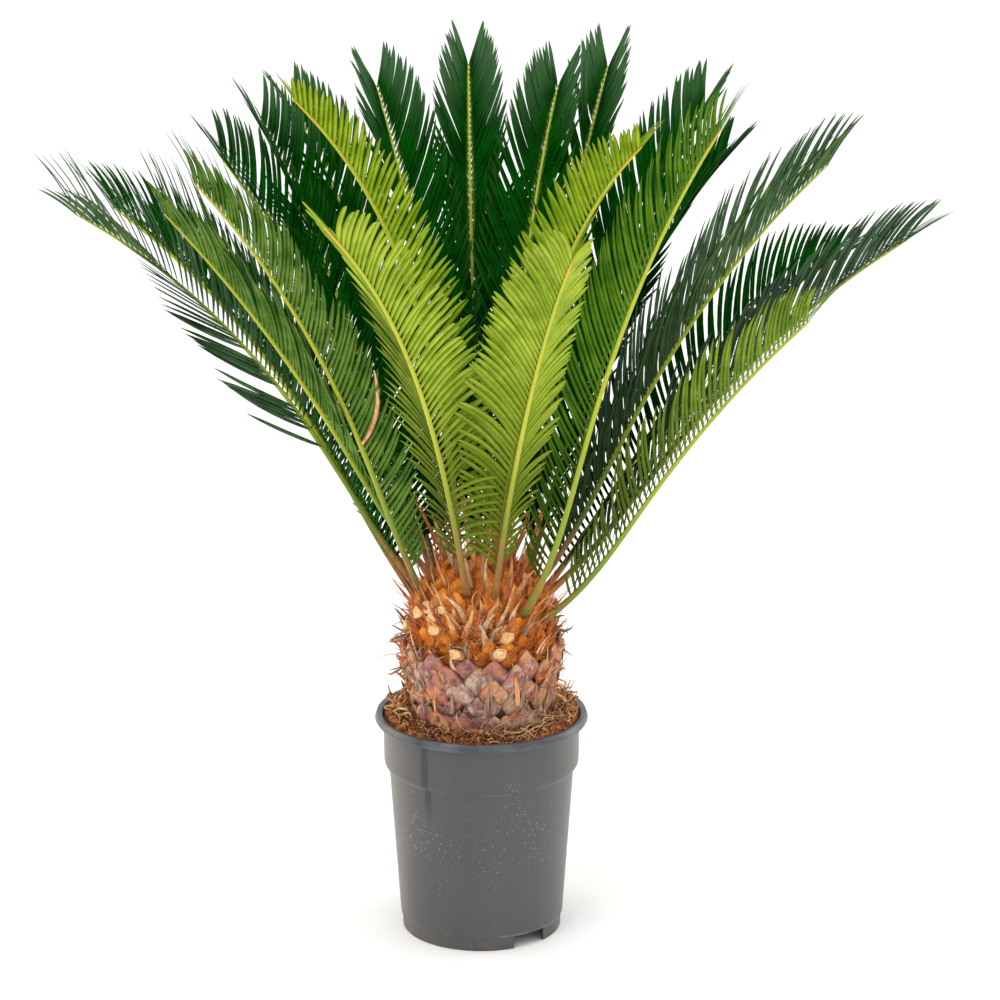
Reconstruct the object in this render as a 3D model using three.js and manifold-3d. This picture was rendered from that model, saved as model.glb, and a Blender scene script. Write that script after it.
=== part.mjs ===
// Sago palm (Cycas revoluta) in a dark plastic nursery pot.
// Millimetres, +Z up. The origin is the centre of the pot's flat underside,
// and -Y is the front of the plant.
import * as THREE from 'three';
import { mergeVertices } from 'three/addons/utils/BufferGeometryUtils.js';
import Module from 'manifold-3d';

const wasm = await Module();
wasm.setup();

const RAD = Math.PI / 180;
const GAP = 0.3;            // clearance between neighbouring solids

// ---- pot ----
const SIDES = 40;           // facets round the pot and the soil
const RIM_R = 95;           // outside radius of the lip
const RIM_TOP = 202;
const RIM_INNER = 88.4;     // where the flat top of the lip ends
const LIP_DROP = 7.6;       // how far the lip turns down
const COLLAR_R = 87.4;      // the wide band under the lip
const COLLAR_LOW = 158;     // where the band starts to turn in
const COLLAR_FOOT = 152;    // its lower step
const BODY_TOP_R = 82.3;
const BODY_FOOT_R = 72.7;
const BODY_FOOT = 13.5;     // the small ledge over the foot ring
const FOOT_R = 71;
const WALL = 1.9;
const FLOOR_Z = 12.4;       // underside of the raised floor round the disc
const FLOOR_THICK = 2;
const DISC_R = 31;          // the flat disc in the middle that the pot stands on
const NOTCHES = [307.5 - 180, 307.5];   // middle of each foot notch, degrees from +X
const NOTCH_WIDTH = 27;
const NOTCH_HIGH = 12.5;
const DRAINS = 8;
const DRAIN_R = 4.5;
const DRAIN_RING = 50;

// ---- soil ----
const SOIL_Z = 203.7;       // level patch that the trunk stands on
const SOIL_FLAT_R = 60;
const SOIL_EDGE_Z = 194;    // level at the pot's wall

// ---- trunk ----
const TRUNK_Z = SOIL_Z + GAP;
const DOME_Z = 292;         // the crown dome is half an ellipsoid
const DOME_R = 60;
const DOME_H = 52;
const BARREL = [
  [55, 204], [61, 211], [64, 221], [66, 231], [66.5, 241], [66, 251], [65, 261], [63.5, 271], [62, 281],
];
const SCALES_ROUND = 14;    // rhombic scales round the trunk, one row half a scale on from the last
const SCALE_RISE = 4.6;     // how far the middle of a scale stands out
const STUB_ROWS = 2;
const STUBS_ROUND = 10;
const DRY_LEAVES = 44;      // places tried for the dry pointed scale leaves

// ---- fronds ----
// az: compass angle of the petiole, degrees from +X. seat: how far down the dome
// it sits, degrees from the top. lean: tilt from upright. arch: how much further
// it bows by the tip. kick: extra outward tilt at the very base. sweep: turn of
// the compass angle by the tip. lift: how steeply the leaflets stand in a V.
// roll: how far that V is turned about the rib, which fades out by rollEnd.
// close: share of the usual angle between leaflet and rib. leaf: share of the
// usual leaflet length. open: how much flatter the V is at the lowest leaflets, which
// fades out by openEnd. closeFirst, first: the close and the leaf length, against the
// other's, of the first row.
// bald: part of the leafy length over which the first row's leaflets have died off.
// leafEnd: where the leaflets end, if not at the tip.
const FRONDS = [
  { az: 184, seat: 64, lean: 26, arch: 33, kick: 12, length: 472, sweep: 25, lift: 45,
    roll: -59, rollEnd: 0.85, close: 0.6, closeFirst: 0.44, open: 38, openEnd: 0.9, bald: 0.27 },
  { az: 201, seat: 46, lean: 27, arch: 18, kick: 14, length: 440, sweep: 21, lift: 50,
    roll: -10, close: 0.55, closeFirst: 0.34, leaf: 0.92 },
  { az: 212, seat: 68, lean: 18, arch: 26, kick: 10, length: 464, sweep: 3, lift: 44,
    close: 0.6, closeFirst: 0.54, leaf: 0.84 },
  { az: 255, seat: 52, lean: 27, arch: 26, kick: 0, length: 492, sweep: -16, lift: 40,
    close: 0.78, leaf: 0.75, open: 8, leafEnd: 0.95 },
  { az: 284, seat: 56, lean: 28, arch: 21, kick: -6, length: 448, sweep: 0, lift: 28,
    close: 0.6, closeFirst: 0.52, leaf: 0.95, open: 4, first: 0.7 },
  { az: 298, seat: 30, lean: 14, arch: 41, kick: -3, length: 498, sweep: 2, lift: 46,
    close: 0.74, leaf: 0.7 },
  { az: 233, seat: 32, lean: 9, arch: 39, kick: -8, length: 500, sweep: -13, lift: 48,
    close: 0.74, leaf: 0.62 },
  { az: 140, seat: 64, lean: 20, arch: 20, kick: 11, length: 441, sweep: -4, lift: 48, close: 0.65 },
  { az: 109, seat: 64, lean: 19, arch: 32, kick: 5, length: 473, sweep: 0, lift: 46, close: 0.6 },
  { az: 93, seat: 50, lean: 24, arch: 28, kick: 12, length: 495, sweep: -2, lift: 50, close: 0.58 },
  { az: 77, seat: 64, lean: 19, arch: 32, kick: 8, length: 472, sweep: -1, lift: 48, close: 0.6 },
  { az: 68, seat: 46, lean: 26, arch: 24, kick: 14, length: 496, sweep: 5, lift: 50, close: 0.62 },
  { az: 310, seat: 74, lean: 16, arch: 26, kick: 23, length: 543, sweep: -7, lift: 54, close: 0.47 },
  { az: 40, seat: 62, lean: 21, arch: 37, kick: 2, length: 430, sweep: 6, lift: 48, close: 0.46 },
  { az: 345, seat: 56, lean: 22, arch: 24, kick: 15, length: 476, sweep: -11, lift: 56,
    roll: 10, close: 0.3, closeFirst: 0.48, leaf: 1.12 },
  { az: 18, seat: 78, lean: 36, arch: 26, kick: 18, length: 455, sweep: -4, lift: 48,
    roll: 12, close: 0.32, closeFirst: 0.44, leaf: 1.06 },
  { az: 335, seat: 86, lean: 30, arch: 25, kick: 24, length: 430, sweep: -38, lift: 54, close: 0.5 },
  { az: 53, seat: 74, lean: 24, arch: 27, kick: 14, length: 486, sweep: 0, lift: 48, close: 0.6 },
  { az: 126, seat: 54, lean: 20, arch: 32, kick: 8, length: 455, sweep: 0, lift: 48, close: 0.64 },
  { az: 156, seat: 48, lean: 20, arch: 26, kick: 12, length: 418, sweep: -8, lift: 46, close: 0.66 },
  { az: 142, seat: 86, lean: 36, arch: 26, kick: 18, length: 430, sweep: 4, lift: 44, close: 0.72 },
  { az: 118, seat: 86, lean: 37, arch: 26, kick: 20, length: 440, sweep: -3, lift: 44, close: 0.72 },
  { az: 88, seat: 84, lean: 38, arch: 26, kick: 20, length: 445, sweep: -4, lift: 44, close: 0.7 },
  { az: 32, seat: 84, lean: 35, arch: 36, kick: 14, length: 425, sweep: 2, lift: 40, close: 0.72 },
  { az: 170, seat: 76, lean: 25, arch: 30, kick: 12, length: 440, sweep: 2, lift: 48, close: 0.68 },
];
const BEND = 1.6;           // how late the arch and the sweep come in
const KICK_END = 0.35;      // part of the length that the kick fades over
const BARE = 0.08;          // part of the length with no leaflets
const LEAFLET = 92;         // longest leaflet
const PITCH = 11.2;         // spacing of the leaflets along the rib
const CLEAR = 0.5;          // least gap that a leaflet keeps to other limbs

// Seeded random numbers, so that every build is the same.
function makeRandom(seed) {
  let s = seed >>> 0;
  return () => {
    s = (s + 0x6d2b79f5) >>> 0;
    let t = s;
    t = Math.imul(t ^ (t >>> 15), t | 1);
    t ^= t + Math.imul(t ^ (t >>> 7), t | 61);
    return ((t ^ (t >>> 14)) >>> 0) / 4294967296;
  };
}

const v3 = (x, y, z) => new THREE.Vector3(x, y, z);

// ---- closed meshes ----
function toArrays(geometry) {
  const g = geometry.clone();
  g.deleteAttribute('normal');
  g.deleteAttribute('uv');
  const merged = mergeVertices(g, 1e-4);
  const pos = Array.from(merged.attributes.position.array);
  const tri = [];
  const idx = merged.index.array;
  let volume = 0;
  const a = v3(), b = v3(), c = v3();
  for (let i = 0; i < idx.length; i += 3) {
    if (idx[i] === idx[i + 1] || idx[i + 1] === idx[i + 2] || idx[i] === idx[i + 2]) continue;
    tri.push(idx[i], idx[i + 1], idx[i + 2]);
    a.fromArray(pos, 3 * idx[i]);
    b.fromArray(pos, 3 * idx[i + 1]);
    c.fromArray(pos, 3 * idx[i + 2]);
    volume += a.dot(b.clone().cross(c));
  }
  if (volume < 0) for (let i = 0; i < tri.length; i += 3) [tri[i], tri[i + 1]] = [tri[i + 1], tri[i]];
  return { pos, tri };
}

function toGeometry(pos, tri) {
  const g = new THREE.BufferGeometry();
  g.setAttribute('position', new THREE.Float32BufferAttribute(pos, 3));
  g.setIndex(tri);
  g.computeVertexNormals();
  return g;
}

function toManifold(geometry) {
  const { pos, tri } = toArrays(geometry);
  return new wasm.Manifold(new wasm.Mesh({
    numProp: 3,
    vertProperties: new Float32Array(pos),
    triVerts: new Uint32Array(tri),
  }));
}

function fromManifold(solid) {
  const mesh = solid.getMesh();
  const pos = [];
  for (let i = 0; i < mesh.vertProperties.length; i += mesh.numProp) {
    pos.push(mesh.vertProperties[i], mesh.vertProperties[i + 1], mesh.vertProperties[i + 2]);
  }
  return toGeometry(pos, Array.from(mesh.triVerts));
}

function lathe(profile, sides = SIDES) {
  const g = new THREE.LatheGeometry(profile.map(([r, z]) => new THREE.Vector2(r, z)), sides);
  g.rotateX(Math.PI / 2);
  return g;
}

// ---- pot ----
function makePot() {
  const footInner = FOOT_R - 2.2;
  const profile = [
    [0, 0], [DISC_R - 1, 0], [DISC_R, 1], [DISC_R + 2.5, FLOOR_Z], [footInner, FLOOR_Z],
    [footInner, 0], [FOOT_R - 0.6, 0], [FOOT_R, 1], [FOOT_R + 0.1, BODY_FOOT - 1.6],
    [BODY_FOOT_R, BODY_FOOT], [BODY_TOP_R, COLLAR_FOOT - 1],
    [BODY_TOP_R + 2, COLLAR_FOOT], [COLLAR_R - 1, COLLAR_LOW - 2.6], [COLLAR_R - 0.5, COLLAR_LOW],
    [COLLAR_R, RIM_TOP - LIP_DROP - 1],
    [RIM_R - 1.4, RIM_TOP - LIP_DROP], [RIM_R, RIM_TOP - 5],
    [RIM_R - 1.8, RIM_TOP], [RIM_INNER, RIM_TOP - 0.8],
    [COLLAR_R - WALL, RIM_TOP - LIP_DROP - 3], [COLLAR_R - WALL - 0.5, COLLAR_LOW + 1],
    [BODY_TOP_R - WALL, COLLAR_FOOT - 1.5], [BODY_FOOT_R - WALL + 0.3, BODY_FOOT + 3.5],
    [FOOT_R - 1.4, FLOOR_Z + FLOOR_THICK], [DISC_R + 1.6, FLOOR_Z + FLOOR_THICK],
    [DISC_R - 1.2, 2.2], [0, 2.2],
  ];
  let pot = toManifold(lathe(profile));
  for (const middle of NOTCHES) {
    const wedge = new THREE.Shape();
    const half = NOTCH_WIDTH / 2;
    wedge.moveTo(62 * Math.cos((middle - half) * RAD), 62 * Math.sin((middle - half) * RAD));
    for (let k = 0; k <= 4; k++) {
      const a = (middle - half + NOTCH_WIDTH * k / 4) * RAD;
      wedge.lineTo(76 * Math.cos(a), 76 * Math.sin(a));
    }
    for (let k = 4; k > 0; k--) {
      const a = (middle - half + NOTCH_WIDTH * k / 4) * RAD;
      wedge.lineTo(62 * Math.cos(a), 62 * Math.sin(a));
    }
    const block = new THREE.ExtrudeGeometry(wedge, { depth: NOTCH_HIGH + 5, bevelEnabled: false });
    block.translate(0, 0, FLOOR_Z - 0.4 - (NOTCH_HIGH + 5));
    pot = pot.subtract(toManifold(block));
  }
  for (let k = 0; k < DRAINS; k++) {
    const a = (k + 0.5) / DRAINS * 2 * Math.PI;
    const hole = new THREE.CylinderGeometry(DRAIN_R, DRAIN_R, 8, 8);
    hole.rotateX(Math.PI / 2);
    hole.translate(DRAIN_RING * Math.cos(a), DRAIN_RING * Math.sin(a), FLOOR_Z + 1);
    pot = pot.subtract(toManifold(hole));
  }
  return fromManifold(pot);
}

// ---- soil ----
// Height of the soil's surface: level under the trunk, lower at the wall,
// heaped on the right and a little on the left.
function soilHeight(x, y) {
  const r = Math.hypot(x, y);
  const out = Math.min(1, Math.max(0, (r - SOIL_FLAT_R) / 26));
  const side = Math.max(0, x / (r + 1e-9));
  const other = Math.max(0, -x / (r + 1e-9));
  const heap = (12 * side ** 2 + 9 * other ** 2) * Math.exp(-(((r - 79) / 6.5) ** 2));
  const lumps = 0.9 * Math.sin(0.31 * x + 1.3) * Math.cos(0.27 * y - 0.6);
  const grain = lumps + 0.6 * Math.sin(0.73 * x - 0.52 * y);
  const fade = Math.min(1, Math.max(0, (r - SOIL_FLAT_R) / 8));
  const slope = (SOIL_EDGE_Z - SOIL_Z) * out ** 1.5;
  return SOIL_Z + fade * (slope + heap + grain - 0.8);
}

function makeSoil() {
  const wallIn = 0.5;
  const collarIn = COLLAR_R - WALL;
  const slopeTop = RIM_TOP - LIP_DROP - 3;
  const profile = [
    [0, 2.2 + GAP], [DISC_R - 1.9, 2.2 + GAP], [DISC_R + 1.1, FLOOR_Z + FLOOR_THICK + GAP],
    [FOOT_R - 2.2, FLOOR_Z + FLOOR_THICK + GAP], [BODY_FOOT_R - WALL + 0.3 - wallIn, BODY_FOOT + 4],
    [BODY_TOP_R - WALL - wallIn, COLLAR_FOOT - 1.3],
    [collarIn - wallIn - 0.4, COLLAR_LOW + 1.4], [collarIn - wallIn, slopeTop], [collarIn + 0.2, SOIL_EDGE_Z],
    [80, 200], [75, 201], [70, 202], [65, 203], [SOIL_FLAT_R, SOIL_Z], [0, SOIL_Z],
  ];
  const g = lathe(profile);
  const p = g.attributes.position;
  for (let i = 0; i < p.count; i++) {
    const r = Math.hypot(p.getX(i), p.getY(i));
    const top = p.getZ(i) > SOIL_EDGE_Z - 0.5 && r > SOIL_FLAT_R + 0.5;
    if (top) p.setZ(i, soilHeight(p.getX(i), p.getY(i)));
  }
  const { pos, tri } = toArrays(g);
  return toGeometry(pos, tri);
}

// ---- ribs ----
function domePoint(seat, az, out = 0) {
  const s = seat * RAD, a = az * RAD;
  const round = Math.sin(s), up = Math.cos(s);
  const n = v3(round * Math.cos(a) / DOME_R, round * Math.sin(a) / DOME_R, up / DOME_H).normalize();
  return {
    point: v3(DOME_R * round * Math.cos(a), DOME_R * round * Math.sin(a), DOME_Z + DOME_H * up)
      .addScaledVector(n, out),
    normal: n,
  };
}

// Point, tangent, leafy-side normal and side vector at each step up the rib.
function makeRib(f, steps) {
  const { point, normal } = domePoint(f.seat, f.az, GAP);
  const frames = [];
  const p = point.clone();
  for (let i = 0; i <= steps; i++) {
    const u = i / steps;
    const tilt = (f.lean + f.arch * u ** BEND + f.kick * Math.max(0, 1 - u / KICK_END) ** 2) * RAD;
    const az = (f.az + f.sweep * u ** BEND) * RAD;
    const t = v3(Math.sin(tilt) * Math.cos(az), Math.sin(tilt) * Math.sin(az), Math.cos(tilt));
    const side = v3(-Math.sin(az), Math.cos(az), 0);
    const leafy = t.clone().cross(side);
    frames.push({ u, p: p.clone(), t, side, leafy });
    const um = (i + 0.5) / steps;
    const tm = (f.lean + f.arch * um ** BEND + f.kick * Math.max(0, 1 - um / KICK_END) ** 2) * RAD;
    const am = (f.az + f.sweep * um ** BEND) * RAD;
    const ahead = v3(Math.sin(tm) * Math.cos(am), Math.sin(tm) * Math.sin(am), Math.cos(tm));
    p.addScaledVector(ahead, f.length / steps);
  }
  return { frames, normal };
}

function ribAt(rib, u) {
  const x = Math.min(u, 1) * (rib.frames.length - 1);
  const i = Math.min(rib.frames.length - 2, Math.floor(x));
  const k = x - i;
  const a = rib.frames[i], b = rib.frames[i + 1];
  const out = {};
  for (const key of ['p', 't', 'side', 'leafy']) out[key] = a[key].clone().lerp(b[key], k);
  out.t.normalize();
  out.side.normalize();
  out.leafy.normalize();
  return out;
}

const ribWidth = (u) => 1.9 + 3.5 * Math.max(0, 1 - u) ** 1.2 + 3.2 * Math.exp(-u / 0.03);
const ribThick = (u) => 2 + 3.4 * (1 - u) + 1.2 * Math.exp(-u / 0.03);

// Leaflet number v (0 lowest, 1 at the tip): its length and its angle to the rib.
function leafletLength(v) {
  const fromFoot = 0.6 * Math.min(1, v / 0.3) ** 0.8;
  const toTip = 0.48 * Math.max(0, (v - 0.72) / 0.28) ** 1.6;
  return LEAFLET * (0.4 + fromFoot - toTip);
}
const leafletAngle = (v) => 86 - 44 * v ** 0.8 - 2 * Math.max(0, (v - 0.7) / 0.3);

// ---- distances ----
function pointTriangle(p, tri) {
  return tri.closestPointToPoint(p, v3()).distanceTo(p);
}

function segmentSegment(a, b, c, d) {
  const u = b.clone().sub(a), v = d.clone().sub(c), w = a.clone().sub(c);
  const A = u.dot(u), B = u.dot(v), C = v.dot(v), D = u.dot(w), E = v.dot(w);
  const den = A * C - B * B;
  let s = den > 1e-9 ? Math.min(1, Math.max(0, (B * E - C * D) / den)) : 0;
  let t = (B * s + E) / C;
  if (t < 0 || t > 1) {
    t = Math.min(1, Math.max(0, t));
    s = Math.min(1, Math.max(0, (B * t - D) / A));
  }
  return w.addScaledVector(u, s).addScaledVector(v, -t).length();
}

function segmentTriangle(a, b, tri) {
  const ray = new THREE.Ray(a, b.clone().sub(a).normalize());
  const hit = ray.intersectTriangle(tri.a, tri.b, tri.c, false, v3());
  if (hit && hit.distanceTo(a) <= a.distanceTo(b)) return 0;
  return Math.min(
    pointTriangle(a, tri), pointTriangle(b, tri),
    segmentSegment(a, b, tri.a, tri.b), segmentSegment(a, b, tri.b, tri.c),
    segmentSegment(a, b, tri.c, tri.a),
  );
}

function triangleTriangle(s, t) {
  let d = Infinity;
  for (const [a, b] of [[s.a, s.b], [s.b, s.c], [s.c, s.a]]) d = Math.min(d, segmentTriangle(a, b, t));
  for (const [a, b] of [[t.a, t.b], [t.b, t.c], [t.c, t.a]]) d = Math.min(d, segmentTriangle(a, b, s));
  return d;
}

// ---- fronds ----
const ribs = FRONDS.map((f) => makeRib(f, 60));

// Rib pieces as thick segments, for the clearance tests.
const ribPieces = [];
ribs.forEach((rib, owner) => {
  for (let i = 0; i < rib.frames.length - 1; i += 2) {
    const a = rib.frames[i], b = rib.frames[i + 2] ?? rib.frames[i + 1];
    ribPieces.push({ owner, a: a.p, b: b.p, r: Math.hypot(ribWidth(a.u), ribThick(a.u)) / 2 });
  }
});

function insideTrunk(p, margin) {
  if (p.z < DOME_Z) return Math.hypot(p.x, p.y) < 72 + margin;
  const k = Math.hypot(p.x, p.y) / (DOME_R + 6 + margin);
  const h = (p.z - DOME_Z) / (DOME_H + 6 + margin);
  return k * k + h * h < 1;
}

// All leaflets are placed in turn, from the tips inward and a frond at a time,
// so that none of them takes all the room. One that would touch another limb is
// turned a little or shortened, and failing that it is skipped.
function placeLeaflets() {
  const counts = FRONDS.map((f) => Math.round(f.length * (1 - BARE) / PITCH));
  const emptyRow = (i) => new Array(counts[i]).fill(null);
  const leaflets = FRONDS.map((f, i) => ({ left: emptyRow(i), right: emptyRow(i) }));
  const placed = [];
  const most = Math.max(...counts);
  const random = makeRandom(41);
  let skipped = 0, cut = 0;
  for (let down = 0; down < most; down++) {
    for (let f = 0; f < FRONDS.length; f++) {
      const i = counts[f] - 1 - down;
      if (i < 0) continue;
      const v = (i + 0.5) / counts[f];
      const step = (1 - BARE) / counts[f];
      const { lift: stand, roll = 0, rollEnd = 9, open = 0, openEnd = 0.5 } = FRONDS[f];
      const { close = 1, closeFirst = close, leaf = 1, first = 1, bald = 0, leafEnd = 1 } = FRONDS[f];
      const rolled = roll * Math.min(1, Math.max(0, (rollEnd - v) / 0.3));
      const flatter = open * Math.min(1, Math.max(0, (openEnd - v) / 0.5));
      const u0 = BARE + step * i, u1 = BARE + step * (i + 1);
      const foot = ribAt(ribs[f], (u0 + u1) / 2);
      for (const hand of [1, -1]) {
        const jitter = random() - 0.5;
        if (v > leafEnd || (hand > 0 && v < bald)) continue;
        const long = leafletLength(v) * leaf * (hand > 0 ? first : 1) * (1 + 0.06 * jitter);
        const start = ribAt(ribs[f], u0), end = ribAt(ribs[f], u1);
        const a = start.p.clone().addScaledVector(start.side, hand * ribWidth(u0) / 2);
        const b = end.p.clone().addScaledVector(end.side, hand * ribWidth(u1) / 2);
        const thick = ribThick(u0) * 0.8;
        let found = null;
        tries:
        for (const share of [1, 0.82, 0.64, 0.48]) {
          for (const turn of [0, 9, -9, 18, -16]) {
            const lift = (stand - flatter + hand * rolled + 6 * jitter + turn) * RAD;
            const angle = leafletAngle(v) * (hand > 0 ? closeFirst : close) * RAD;
            const w = foot.side.clone().multiplyScalar(hand * Math.cos(lift));
            w.addScaledVector(foot.leafy, Math.sin(lift));
            const dir = foot.t.clone().multiplyScalar(Math.cos(angle)).addScaledVector(w, Math.sin(angle));
            const tip = a.clone().add(b).multiplyScalar(0.5).addScaledVector(dir, long * share);
            if (insideTrunk(tip, 3)) continue;
            const tri = new THREE.Triangle(a, b, tip);
            const mid = a.clone().add(tip).multiplyScalar(0.5);
            const reach = mid.distanceTo(tip) + 7;
            let free = true;
            for (const piece of ribPieces) {
              if (piece.owner === f) continue;
              if (Math.min(piece.a.distanceTo(mid), piece.b.distanceTo(mid)) > reach + 20) continue;
              if (segmentTriangle(piece.a, piece.b, tri) < piece.r + thick / 2 + CLEAR) {
                free = false;
                break;
              }
            }
            if (!free) continue;
            for (const other of placed) {
              if (other.f === f || other.mid.distanceTo(mid) > reach + other.reach) continue;
              if (triangleTriangle(tri, other.tri) < (thick + other.thick) / 2 + CLEAR) {
                free = false;
                break;
              }
            }
            if (free) { found = { f, tri, tip, mid, reach, thick, share }; break tries; }
          }
        }
        if (!found) { skipped++; continue; }
        if (found.share < 1) cut++;
        placed.push(found);
        leaflets[f][hand > 0 ? 'left' : 'right'][i] = tip(found);
      }
    }
  }
  return { leaflets, counts, placed, skipped, cut };
}
const tip = (leaflet) => leaflet.tip;

// One closed mesh: a tapering rib of rectangular section with a pointed
// leaflet standing on each side panel.
function makeFrond(f, leaflets, count) {
  const spec = FRONDS[f], rib = ribs[f];
  const pos = [], tri = [];
  const stations = [];
  const petiole = [0.015, 0.045];
  const us = [0, ...petiole];
  for (let i = 0; i <= count; i++) us.push(BARE + (1 - BARE) * i / count);
  for (const u of us) {
    const fr = ribAt(rib, u);
    const w = ribWidth(u) / 2, h = ribThick(u) / 2;
    const corners = [[w, h], [w, -h], [-w, -h], [-w, h]].map(([x, y]) =>
      fr.p.clone().addScaledVector(fr.side, x).addScaledVector(fr.leafy, y));
    if (u === 0) {
      // the foot is cut parallel to the trunk's surface
      const base = domePoint(spec.seat, spec.az, GAP).point;
      for (const c of corners) {
        const d = c.clone().sub(base).dot(rib.normal) / fr.t.dot(rib.normal);
        c.addScaledVector(fr.t, -d);
      }
    }
    stations.push(pos.length / 3);
    for (const c of corners) pos.push(c.x, c.y, c.z);
  }
  const quad = (a, b, c, d) => tri.push(a, b, c, a, c, d);
  quad(stations[0], stations[0] + 1, stations[0] + 2, stations[0] + 3);
  const last = stations.at(-1);
  quad(last + 3, last + 2, last + 1, last);
  for (let s = 0; s < stations.length - 1; s++) {
    const a = stations[s], b = stations[s + 1];
    quad(a + 1, b + 1, b + 2, a + 2);      // underside
    quad(a + 3, b + 3, b, a);              // leafy side
    const i = s - petiole.length - 1;
    for (const [hand, x, y] of [['left', 0, 1], ['right', 2, 3]]) {
      const point = i >= 0 ? leaflets[hand][i] : null;
      if (!point) { quad(a + x, b + x, b + y, a + y); continue; }
      const k = pos.length / 3;
      pos.push(point.x, point.y, point.z);
      tri.push(a + x, b + x, k, b + x, b + y, k, b + y, a + y, k, a + y, a + x, k);
    }
  }
  const g = toArrays(toGeometry(pos, tri));
  return toGeometry(g.pos, g.tri);
}

// ---- trunk ----
function placed(geometry, origin, zAxis, xHint) {
  const z = zAxis.clone().normalize();
  const x = xHint.clone().addScaledVector(z, -xHint.dot(z)).normalize();
  const y = z.clone().cross(x);
  geometry.applyMatrix4(new THREE.Matrix4().makeBasis(x, y, z).setPosition(origin));
  return geometry;
}

function barrelRadius(z) {
  const rows = [...BARREL, [DOME_R, DOME_Z]];
  for (let i = 0; i < rows.length - 1; i++) {
    const [r0, z0] = rows[i], [r1, z1] = rows[i + 1];
    if (z <= z1) return r0 + (r1 - r0) * Math.max(0, z - z0) / (z1 - z0);
  }
  return DOME_R * Math.sqrt(Math.max(0, 1 - ((z - DOME_Z) / DOME_H) ** 2));
}

function clearOfRibs(points, radius) {
  for (const piece of ribPieces) {
    if (piece.a.z > 460) continue;
    for (let i = 0; i < points.length - 1; i++) {
      if (segmentSegment(points[i], points[i + 1], piece.a, piece.b) < piece.r + radius + 0.6) return false;
    }
  }
  return true;
}

function clearOfLeaflets(points, radius, leaflets) {
  for (const leaf of leaflets) {
    if (Math.min(leaf.tri.a.z, leaf.tri.b.z, leaf.tip.z) > 460) continue;
    for (let i = 0; i < points.length - 1; i++) {
      if (segmentTriangle(points[i], points[i + 1], leaf.tri) < radius + leaf.thick / 2 + 0.6) return false;
    }
  }
  return true;
}

// A dry pointed leaf: flat, bent outward once, ending in a point.
function dryLeaf(root, side, mid, point, width, thick) {
  const pos = [], tri = [];
  const ring = (p, along, w, t) => {
    const x = side.clone();
    const y = along.clone().cross(x).normalize();
    for (const [a, b] of [[1, 0], [0, 1], [-1, 0], [0, -1]]) {
      const q = p.clone().addScaledVector(x, a * w / 2).addScaledVector(y, b * t / 2);
      pos.push(q.x, q.y, q.z);
    }
  };
  ring(root, mid.clone().sub(root).normalize(), width, thick);
  ring(mid, point.clone().sub(root).normalize(), width * 0.7, thick * 0.7);
  pos.push(point.x, point.y, point.z);
  tri.push(0, 2, 1, 0, 3, 2);
  for (let k = 0; k < 4; k++) {
    const n = (k + 1) % 4;
    tri.push(k, n, n + 4, k, n + 4, k + 4, k + 4, n + 4, 8);
  }
  return toGeometry(pos, tri);
}

// The barrel and the dome: rings of points, with every second point of the
// barrel's rings pushed out, so that the cells between make rhombic scales.
function makeBarrel() {
  const columns = 2 * SCALES_ROUND;
  const rings = BARREL.map(([r, z], i) => ({ r, z: i === 0 ? TRUNK_Z : z, scaled: i > 0 }));
  rings.push({ r: DOME_R, z: DOME_Z, scaled: false });
  for (let s = 81; s > 0; s -= 9) {
    rings.push({ r: DOME_R * Math.sin(s * RAD), z: DOME_Z + DOME_H * Math.cos(s * RAD), scaled: false });
  }
  const pos = [0, 0, TRUNK_Z];
  rings.forEach((ring, j) => {
    for (let k = 0; k < columns; k++) {
      const a = (k / columns) * 2 * Math.PI;
      const peak = ring.scaled && (j + k) % 2 === 0;
      const r = ring.r + (peak ? SCALE_RISE : ring.scaled ? -1.5 : 0);
      pos.push(r * Math.cos(a), r * Math.sin(a), ring.z + (peak ? 1.5 : 0));
    }
  });
  pos.push(0, 0, DOME_Z + DOME_H);
  const tri = [];
  const at = (j, k) => 1 + j * columns + (k % columns);
  const top = 1 + rings.length * columns;
  for (let k = 0; k < columns; k++) {
    tri.push(0, at(0, k + 1), at(0, k));
    tri.push(top, at(rings.length - 1, k), at(rings.length - 1, k + 1));
    for (let j = 0; j < rings.length - 1; j++) {
      const a = at(j, k), b = at(j, k + 1), c = at(j + 1, k + 1), d = at(j + 1, k);
      if ((j + k) % 2 === 0) tri.push(a, b, d, b, c, d);
      else tri.push(a, b, c, a, c, d);
    }
  }
  return toGeometry(pos, tri);
}

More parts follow.
